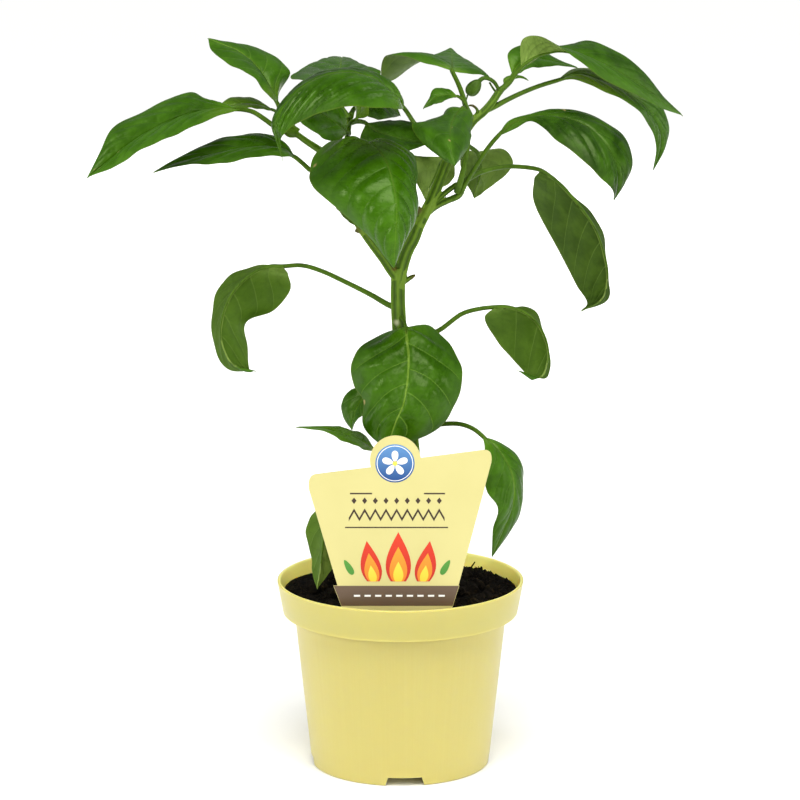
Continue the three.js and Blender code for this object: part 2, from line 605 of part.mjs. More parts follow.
// A tapering round limb along points in space. radiusAt gives its radius at a share of its length.
function limb(points, radiusAt, sides, steps) {
  const curve = curveThrough(points);
  const rings = [];
  let across = new THREE.Vector3(0.3, 1, 0.2);
  for (let i = 0; i <= steps; i++) {
    const t = i / steps;
    const along = curve.getTangent(t);
    across = across.clone().addScaledVector(along, -across.dot(along)).normalize();
    const side = along.clone().cross(across);
    const centre = curve.getPoint(t);
    const ring = [];
    for (let j = 0; j < sides; j++) {
      const angle = (2 * Math.PI * j) / sides;
      const out = across.clone().multiplyScalar(Math.cos(angle)).addScaledVector(side, Math.sin(angle));
      ring.push(centre.clone().addScaledVector(out, radiusAt(t)));
    }
    rings.push(ring);
  }
  return skin(rings);
}

// ---- A leaf ----
function marginPoint(margin, rib, halfWidth, turn) {
  if (margin.length === 3) return [margin[0], rib[1] + margin[1], margin[2]];
  const reach = 1 + rib[1] / EYE.back;
  const seen = Math.hypot(margin[0] - rib[0], margin[1] - rib[2]) * reach;
  const step = Math.sqrt(Math.max(0, halfWidth ** 2 - seen ** 2));
  return [margin[0], rib[1] + turn * step, margin[1]];
}

// The blade's middle surface: at(along, across) with along 0 to 1 and across -1 (left) to 1 (right).
function bladeSurface(leaf, phase) {
  const { stalk, rib, left, right, half, turn } = leaf;
  const profile = leaf.profile || PROFILES[left.length];
  const base = stalk[stalk.length - 1];
  const tip = rib[rib.length - 1];
  const ends = (margin, side) => {
    const inner = margin.map((m, i) => inSpace(marginPoint(m, rib[i], half[side] * profile[i], turn[side])));
    return curveThrough([inSpace(base), ...inner, inSpace(tip)]);
  };
  const middle = curveThrough([base, ...rib].map(inSpace));
  const margins = [ends(left, 0), ends(right, 1)];
  return (along, across) => {
    const centre = middle.getPoint(along);
    const tangent = middle.getTangent(along);
    const outs = margins.map((m) => m.getPoint(along).sub(centre));
    // The margins meet at the base and the tip, where the blade keeps a small width of its own.
    const spread = outs[1].clone().sub(outs[0]);
    const least = LEAF.neck + (LEAF.tip - LEAF.neck) * along;
    const ups = [tangent.clone().cross(outs[0]), outs[1].clone().cross(tangent)];
    const side = across < 0 ? 0 : 1;
    const share = Math.abs(across);
    const out = outs[side];
    const width = out.length();
    if (width < least) {
      if (spread.lengthSq() < 1e-6) spread.copy(tangent).cross(new THREE.Vector3(0, 0, 1));
      out.addScaledVector(spread.normalize(), (side ? 1 : -1) * (least - width));
    }
    const up = ups[side].lengthSq() > 1e-6 ? ups[side].normalize() : new THREE.Vector3();
    const bulge = LEAF.bow * width * 4 * share * (1 - share);
    const ripple = Math.sin(2 * Math.PI * (LEAF.waves * along + phase + LEAF.sideShift * side));
    const wave = LEAF.wave * width * ripple * share * share;
    return centre.addScaledVector(out, share).addScaledVector(up, bulge + wave);
  };
}

const isSmall = (leaf) => Math.max(...leaf.half) < LEAF.smallHalf;

function leafGeometry(leaf, number) {
  const surface = bladeSurface(leaf, LEAF.nextShift * number);
  const [along, across] = isSmall(leaf) ? [6, 4] : [8, 6];
  const grid = [];
  for (let i = 0; i <= along; i++) {
    const row = [];
    for (let j = 0; j <= across; j++) row.push(surface(i / along, (2 * j) / across - 1));
    grid.push(row);
  }
  const at = (i, j) => grid[Math.min(along, Math.max(0, i))][Math.min(across, Math.max(0, j))];
  const normals = grid.map((row, i) =>
    row.map((_, j) => {
      const onward = at(i + 1, j).clone().sub(at(i - 1, j));
      return at(i, j + 1).clone().sub(at(i, j - 1)).cross(onward).normalize();
    }),
  );
  const lifted = (i, j, by) => grid[i][j].clone().addScaledVector(normals[i][j], by);
  const face = (offset) => grid.map((row, i) => row.map((_, j) => lifted(i, j, offset)));
  const top = face(LEAF.thickness / 2).flat();
  const under = face(-LEAF.thickness / 2).flat();
  const row = across + 1;
  const faces = [];
  const both = (a, b, c) => {
    faces.push(a, b, c);
    faces.push(a + top.length, c + top.length, b + top.length);
  };
  for (let i = 0; i < along; i++) {
    for (let j = 0; j < across; j++) {
      const a = i * row + j;
      both(a, a + 1, a + row + 1);
      both(a, a + row + 1, a + row);
    }
  }
  const rim = [];
  for (let j = 0; j < across; j++) rim.push(j);
  for (let i = 0; i < along; i++) rim.push(i * row + across);
  for (let j = across; j > 0; j--) rim.push(along * row + j);
  for (let i = along; i > 0; i--) rim.push(i * row);
  rim.forEach((a, k) => {
    const b = rim[(k + 1) % rim.length];
    faces.push(a, a + top.length, b + top.length, a, b + top.length, b);
  });
  const geometry = new THREE.BufferGeometry().setFromPoints([...top, ...under]);
  geometry.setIndex(faces);
  return { geometry, under: (i) => lifted(i, across / 2, -LEAF.stalkSunk), along };
}

function leafSolid(leaf, number) {
  const { geometry, under, along } = leafGeometry(leaf, number);
  const reach = Math.round(along * LEAF.stalkReach);
  const path = leaf.stalk.slice(0, -1).map(inSpace);
  for (let i = 0; i <= reach; i++) path.push(under(i));
  const scale = isSmall(leaf) ? LEAF.smallStalk : 1;
  const radiusAt = (t) => scale * (LEAF.stalkRadius + (LEAF.stalkEnd - LEAF.stalkRadius) * t);
  const stalk = solidOf(limb(path, radiusAt, LEAF.stalkSides, path.length + 1));
  return solidOf(geometry).add(stalk);
}

// ---- The stem with its branches ----
function stemSolid(extra) {
  return joined(
    LIMBS.map(({ path, radii: [from, to] }) => {
      const sides = from > STEM.thick ? STEM.sides : STEM.twigSides;
      return solidOf(limb(path.map(inSpace), (t) => from + (to - from) * t + extra, sides, path.length));
    }),
  );
}

// ---- The bud ----
function budSolid() {
  const ball = new THREE.SphereGeometry(BUD.radius, 12, 8);
  ball.scale(1, 1, BUD.halfLength / BUD.radius);
  ball.rotateY(BUD.lean);
  const centre = inSpace(BUD.centre);
  ball.translate(centre.x, centre.y, centre.z);
  const tube = (path, radius) =>
    solidOf(limb(path.map(inSpace), () => radius, STEM.twigSides, path.length + 2));
  return joined([
    solidOf(ball),
    tube(BUD.stalk, BUD.stalkRadius),
    tube(BUD.second, BUD.secondRadius),
    tube(BUD.style, BUD.styleRadius),
  ]);
}

// ---- The pot ----
const LIP = POT.height - POT.collarHeight; // height of the collar's lower lip
const SHELF = { outer: LIP + 3.5, inner: LIP + 2.6 }; // the step inside, where the collar widens

// Inner radius of the pot's body, under the step.
const bodyRadius = (height) => {
  const share = (height - POT.footHeight) / (LIP - POT.footHeight);
  return POT.footRadius - POT.wall + (POT.neckRadius - POT.footRadius) * share;
};

// Inner radius of the collar, over the step.
const collarRadius = (height) => {
  const share = (height - SHELF.outer) / (POT.height - SHELF.outer);
  return POT.lipRadius - POT.wall + (POT.rimRadius - POT.lipRadius) * share;
};

function potSolid() {
  const { rimRadius, lipRadius, neckRadius, footRadius, wall, footHeight, footWall, height, edge } = POT;
  const profile = [
    [0, footHeight],
    [footRadius - footWall, footHeight],
    [footRadius - footWall, 0],
    [footRadius - edge, 0],
    [footRadius, edge],
    [neckRadius, LIP + 3.5 * edge],
    [lipRadius - edge, LIP + 1.5 * edge],
    [lipRadius - edge / 2, LIP],
    [lipRadius, LIP + 1.5 * edge],
    [rimRadius, height - edge],
    [rimRadius - edge, height],
    [rimRadius - wall, height],
    [lipRadius - wall, SHELF.outer],
    [neckRadius - wall, SHELF.inner],
    [bodyRadius(footHeight + wall), footHeight + wall],
    [0, footHeight + wall],
  ].map(([x, y]) => new THREE.Vector2(x, y));
  const shell = new THREE.LatheGeometry(profile, POT.facets);
  shell.rotateX(Math.PI / 2);
  let pot = solidOf(shell);
  const notch = new THREE.Shape([
    new THREE.Vector2(-POT.notchFoot / 2, -1),
    new THREE.Vector2(POT.notchFoot / 2, -1),
    new THREE.Vector2(POT.notchHead / 2, POT.notchHeight),
    new THREE.Vector2(-POT.notchHead / 2, POT.notchHeight),
  ]);
  for (let quarter = 0; quarter < 4; quarter++) {
    const cut = new THREE.ExtrudeGeometry(notch, { depth: POT.notchReach, bevelEnabled: false });
    cut.rotateX(Math.PI / 2);
    cut.translate(0, -POT.footRadius + 0.7 * POT.notchReach, 0);
    cut.rotateZ(THREE.MathUtils.degToRad(POT.notchTurn) + (quarter * Math.PI) / 2);
    pot = pot.subtract(solidOf(cut));
  }
  for (let k = 0; k < POT.drainHoles; k++) {
    const drill = new THREE.CylinderGeometry(POT.drainRadius, POT.drainRadius, 3 * POT.wall, 12);
    drill.rotateX(Math.PI / 2);
    drill.translate(POT.drainCircle, 0, POT.footHeight + POT.wall / 2);
    drill.rotateZ((2 * Math.PI * k) / POT.drainHoles);
    pot = pot.subtract(solidOf(drill));
  }
  return pot;
}

// ---- The soil: a plug that fills the pot, with a lumpy top inside the collar ----
function soilTop(x, y) {
  const share = Math.min(1, Math.hypot(x, y) / POT.lipRadius);
  const heap = SOIL.heapHeight * (1 - share * share) + SOIL.sideRise * (x / POT.lipRadius) ** 2;
  // Two crossing waves, about 20 and 10 mm from crest to crest, that die out at the wall.
  const wide = Math.sin(0.31 * x + 1.3) * Math.cos(0.27 * y - 0.4);
  const fine = Math.sin(0.63 * x - 0.5 * y + 2.1);
  return POT.height - SOIL.edgeDrop + heap + SOIL.lump * (wide + 0.6 * fine) * (1 - share ** 6);
}

function soilSolid() {
  const circle = (radiusAt, heightAt) => {
    const ring = [];
    for (let j = 0; j < SOIL.spokes; j++) {
      const angle = (2 * Math.PI * j) / SOIL.spokes;
      const [x, y] = [Math.cos(angle) * radiusAt, Math.sin(angle) * radiusAt];
      ring.push(new THREE.Vector3(x, y, heightAt(x, y)));
    }
    return ring;
  };
  const level = (height) => () => height;
  const floor = POT.footHeight + POT.wall + CLEAR;
  const shelf = SHELF.outer + 2 * CLEAR;
  const edge = collarRadius(POT.height - SOIL.edgeDrop) - SOIL.wallGap;
  const rings = [
    circle(bodyRadius(floor) - SOIL.wallGap, level(floor)),
    circle(bodyRadius(LIP) - SOIL.wallGap, level(SHELF.inner + 2 * CLEAR)),
    circle(collarRadius(shelf) - SOIL.wallGap, level(shelf)),
  ];
  for (let i = SOIL.rings; i > 0; i--) rings.push(circle((edge * i) / SOIL.rings, soilTop));
  return solidOf(skin(rings));
}

// ---- The label ----
function labelShape(extra) {
  const shape = new THREE.Shape();
  const to = (p) => shape.lineTo(p[0], p[1]);
  const half = LABEL.stakeWidth / 2 + extra;
  const [cx, cz] = LABEL.tabCentre;
  const start = Math.atan2(LABEL.tabRight[1] - cz, LABEL.tabRight[0] - cx);
  const end = Math.atan2(LABEL.tabLeft[1] - cz, LABEL.tabLeft[0] - cx);
  shape.moveTo(0, LABEL.stakeBottom - extra);
  to([half * 0.35, LABEL.stakeBottom - extra]);
  to([half, LABEL.stakeBottom + LABEL.stakePoint]);
  to([half, LABEL.footRight[1]]);
  to(LABEL.footRight);
  to(LABEL.bandRight);
  to(LABEL.waistRight);
  to(LABEL.rightCorner);
  shape.quadraticCurveTo(LABEL.rightCorner[0] + 1, LABEL.topRight[1] + 0.8, ...LABEL.topRight);
  shape.absarc(cx, cz, LABEL.tabRadius, start, end, false);
  to(LABEL.topLeft);
  shape.quadraticCurveTo(LABEL.leftCorner[0] - 1, LABEL.topLeft[1] - 0.5, ...LABEL.leftCorner);
  to(LABEL.waistLeft);
  to(LABEL.bandLeft);
  to(LABEL.footLeft);
  to([-half, LABEL.footLeft[1]]);
  to([-half, LABEL.stakeBottom + LABEL.stakePoint]);
  to([-half * 0.35, LABEL.stakeBottom - extra]);
  return shape;
}

function labelSolid(extra) {
  const depth = LABEL.thickness + 2 * extra;
  const outline = labelShape(extra);
  const sheet = new THREE.ExtrudeGeometry(outline, { depth, bevelEnabled: false, curveSegments: 16 });
  sheet.rotateX(Math.PI / 2);
  sheet.translate(0, LABEL.plane + depth / 2, 0);
  return solidOf(sheet);
}

// ---- The part ----
const paint = (hex, roughness) => new THREE.MeshStandardMaterial({ color: hex, roughness, metalness: 0 });
const LOOKS = {
  pot: paint(0xe4d688, 0.45),
  soil: paint(0x2a2420, 1),
  label: paint(0xf6efb0, 0.4),
  stem: paint(0x668a36, 0.6),
  leaf: paint(0x3f7a22, 0.4),
  bud: paint(0x4f8030, 0.5),
};

const plant = new THREE.Group();

function add(name, geometry, look) {
  const mesh = new THREE.Mesh(geometry, look);
  mesh.name = name;
  plant.add(mesh);
}

const stem = stemSolid(0);
const stemRoom = stemSolid(CLEAR);
const clearOfStem = (solid) => withoutScraps(geometryOf(solid.subtract(stemRoom)));
add("pot", geometryOf(potSolid()), LOOKS.pot);
add("soil", geometryOf(soilSolid().subtract(stemRoom).subtract(labelSolid(CLEAR))), LOOKS.soil);
add("plant_label", geometryOf(labelSolid(0)), LOOKS.label);
add("stem_and_branches", geometryOf(stem), LOOKS.stem);
add("flower_bud", clearOfStem(budSolid()), LOOKS.bud);
Object.entries(LEAVES).forEach(([name, leaf], number) => {
  add(name, clearOfStem(leafSolid(leaf, number)), LOOKS.leaf);
});

export default plant;
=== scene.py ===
"""A potted chilli pepper plant: a pale plastic nursery pot, peat, a printed card and a leafy plant."""

import math

import bmesh
import bpy
import numpy as np
from mathutils import Matrix, Vector, noise
from mathutils.kdtree import KDTree


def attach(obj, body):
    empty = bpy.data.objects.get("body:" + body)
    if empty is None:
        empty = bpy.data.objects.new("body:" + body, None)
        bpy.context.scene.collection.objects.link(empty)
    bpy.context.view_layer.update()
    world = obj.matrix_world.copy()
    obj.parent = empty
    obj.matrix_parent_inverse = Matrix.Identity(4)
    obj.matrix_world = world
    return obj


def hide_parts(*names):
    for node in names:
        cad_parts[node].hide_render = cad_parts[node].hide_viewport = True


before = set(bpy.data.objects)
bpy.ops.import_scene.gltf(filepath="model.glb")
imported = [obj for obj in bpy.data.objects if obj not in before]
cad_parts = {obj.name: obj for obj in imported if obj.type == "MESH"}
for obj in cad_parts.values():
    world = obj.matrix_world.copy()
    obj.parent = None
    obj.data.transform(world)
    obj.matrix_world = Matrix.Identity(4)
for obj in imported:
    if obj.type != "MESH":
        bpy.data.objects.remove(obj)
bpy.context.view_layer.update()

MM = 0.001  # one millimetre in Blender's metres

# ---- The camera, at the photograph's place: 1.8 m in front and 12.4 degrees above ----
CAMERA_BACK = 1.810
CAMERA_UP = 0.5795
CAMERA_DOWN = 12.355  # degrees
FRAME_PIXELS = 800
FOCAL_PIXELS = 3787.6
SENSOR = 36.0
SHIFT = (-0.0005, 0.000625)

camera_data = bpy.data.cameras.new("camera")
camera_data.sensor_width = SENSOR
camera_data.lens = SENSOR * FOCAL_PIXELS / FRAME_PIXELS
camera_data.shift_x, camera_data.shift_y = SHIFT
camera = bpy.data.objects.new("camera", camera_data)
camera.location = (0, -CAMERA_BACK, CAMERA_UP)
camera.rotation_euler = (math.radians(90 - CAMERA_DOWN), 0, 0)
bpy.context.scene.collection.objects.link(camera)
bpy.context.scene.camera = camera

# ---- Sizes in millimetres ----
POT = {
    "height": 93,
    "rim": 60.9,  # outer radius at the very top
    "lip": 58,  # outer radius at the lower lip of the collar
    "collar": 16,  # height of the collar
    "neck": 52.6,  # outer radius just under the collar
    "foot": 44.1,  # outer radius at the very bottom
    "wall": 1.2,
    "edge": 0.4,  # the small steps under the lip of the collar
    "bead": 0.5,  # how much thicker the rounded edge of the rim is
    "foot_height": 4.5,  # how far the floor is raised
    "foot_wall": 2,
    "notch_height": 4.2,
    "notch_foot": 19.7,  # width of a notch at the bottom
    "notch_head": 16.6,  # and at its top
    "notch_reach": 12,
    "notch_turn": 2.9,  # degrees that the front notch is turned to the right
    "drain_holes": 6,
    "drain_radius": 4,
    "drain_circle": 27,  # radius of the circle that the holes are on
    "drain_cut": (3.2, 7.2),  # from below the floor to above it
    "ring_gap": 9,  # most height between two rings of points on a long wall
}
LIP_UP = POT["height"] - POT["collar"]
SHELF_OUTER = LIP_UP + 3.5
SHELF_INNER = LIP_UP + 2.6

SOIL = {
    "drop": 9,  # from the rim down to the soil's edge
    "heap": 4,  # how much higher the middle is
    "side_rise": 4,  # and the left and right edges
    "lump": 1.5,
    "mound": 4.5,
    "mound_at": (38, 24),
    "mound_spread": 110,
    "gap": 0.35,  # between the soil and the wall
    "under": 0.4,  # how far the rough surface starts below the smooth one
    "clod": 1.7,  # heights of the roughness
    "grit": 0.5,
}

CARD = {
    "front": -46.4,  # its place in depth; all else is (across, up)
    "thickness": 0.8,
    "top_left": (-40.2, 157.1),
    "top_right": (39.3, 168.9),
    "left_corner": (-43.8, 149.5),
    "right_corner": (43.5, 162.6),
    "waist_left": (-30.3, 101.8),
    "waist_right": (28, 101.8),
    "band_left": (-32.3, 101.8),
    "band_right": (28.4, 101.8),
    "foot_left": (-26.5, 86),
    "foot_right": (23.6, 86),
    "tab_centre": (-2.4, 163.8),
    "tab_radius": 12.2,
    "tab_left": (-14.6, 160.3),
    "tab_right": (9.8, 165),
    "stake_width": 18,
    "stake_bottom": 52,
    "stake_point": 12,
}

BLADE = {
    "sheet": 0.4,  # thickness of the blade
    "step": 0.85,  # millimetres between two points along it
    "side_step": 0.78,  # and across it
    "neck": 0.8,  # least half-width at the base
    "tip": 0.15,  # and at the tip
    "bow": 0.08,  # how far each half bows up, as a share of its width
    "wave": 0.045,  # height of the margin's waves, as a share of the half-width
    "waves": 2.3,  # how many there are along a leaf
    "ripple": 0.014,  # the same for the finer waves
    "ripples": 2.7,  # how many of them go with one wave
    "side_shift": 0.37,  # how far the waves of the right half are out of step with the left
    "next_shift": 0.17,  # and those of the next leaf
    "stagger": 0.35,  # how far the side veins of the two halves are out of step
    "rise_fade": 0.35,  # how much less a side vein rises near the tip
}
MIDRIB = {
    "base": 0.9,  # its breadth at the base, against the widths below
    "fade": 0.55,  # how much of that is gone at the tip
    "groove": 0.32,  # depth of its groove above, in millimetres
    "groove_half": 0.75,  # half-width of the groove
    "ridge": 0.75,  # height of its ridge beneath
    "ridge_least": 0.1,
    "ridge_half": 0.85,
    "ridge_share": 0.6,  # how much of the ridge shows; the stalk carries the rest
}
PETIOLE = {
    "foot": 1.3,  # radius at the branch
    "blade": 1.05,  # radius where the blade begins
    "end": 0.28,  # radius at its end under the blade
    "heel": 0.35,  # how much thicker the very foot is
    "reach": 0.7,  # how far it runs on under the blade, as a share of the leaf
    "sunk": 0.45,  # how far below the blade
    "small": 0.7,  # how much thinner the stalk of a small leaf is
    "small_below": 12,  # the half-width under which a leaf is small
}
EYE_BACK = 1810.0  # the camera's place again, in millimetres
EYE_UP = 579.5
# How wide a blade is at each margin point, as a share of its half-width, by how many points it has.
PROFILES = {
    3: [0.8, 1, 0.6],
    4: [0.75, 1, 0.9, 0.55],
    5: [0.7, 0.98, 1, 0.75, 0.42],
}

# What a leaf has where its own row doesn't say otherwise.
LEAF_HABIT = {
    "clear": 0.3,  # how clear the veins are above
    "gloss": 0.3,
    "beneath": 0.0,  # how much paler the underside is
    "young": (0.3, 0.3),  # how much paler the base is, and how far along that reaches
    "sides": (0.0, 0.0),  # how much paler the left and the right half are
    "scars": [],  # brown spots: (along, across, millimetres)
    "every": 12.5,  # millimetres between side veins
    "rise": 0.4,  # how far a side vein runs towards the tip, as a share of the leaf
    "blister": 0.25,  # height of the small swellings, in millimetres
    "slim": 1.0,  # thickness of the stalk, against that of other leaves
}

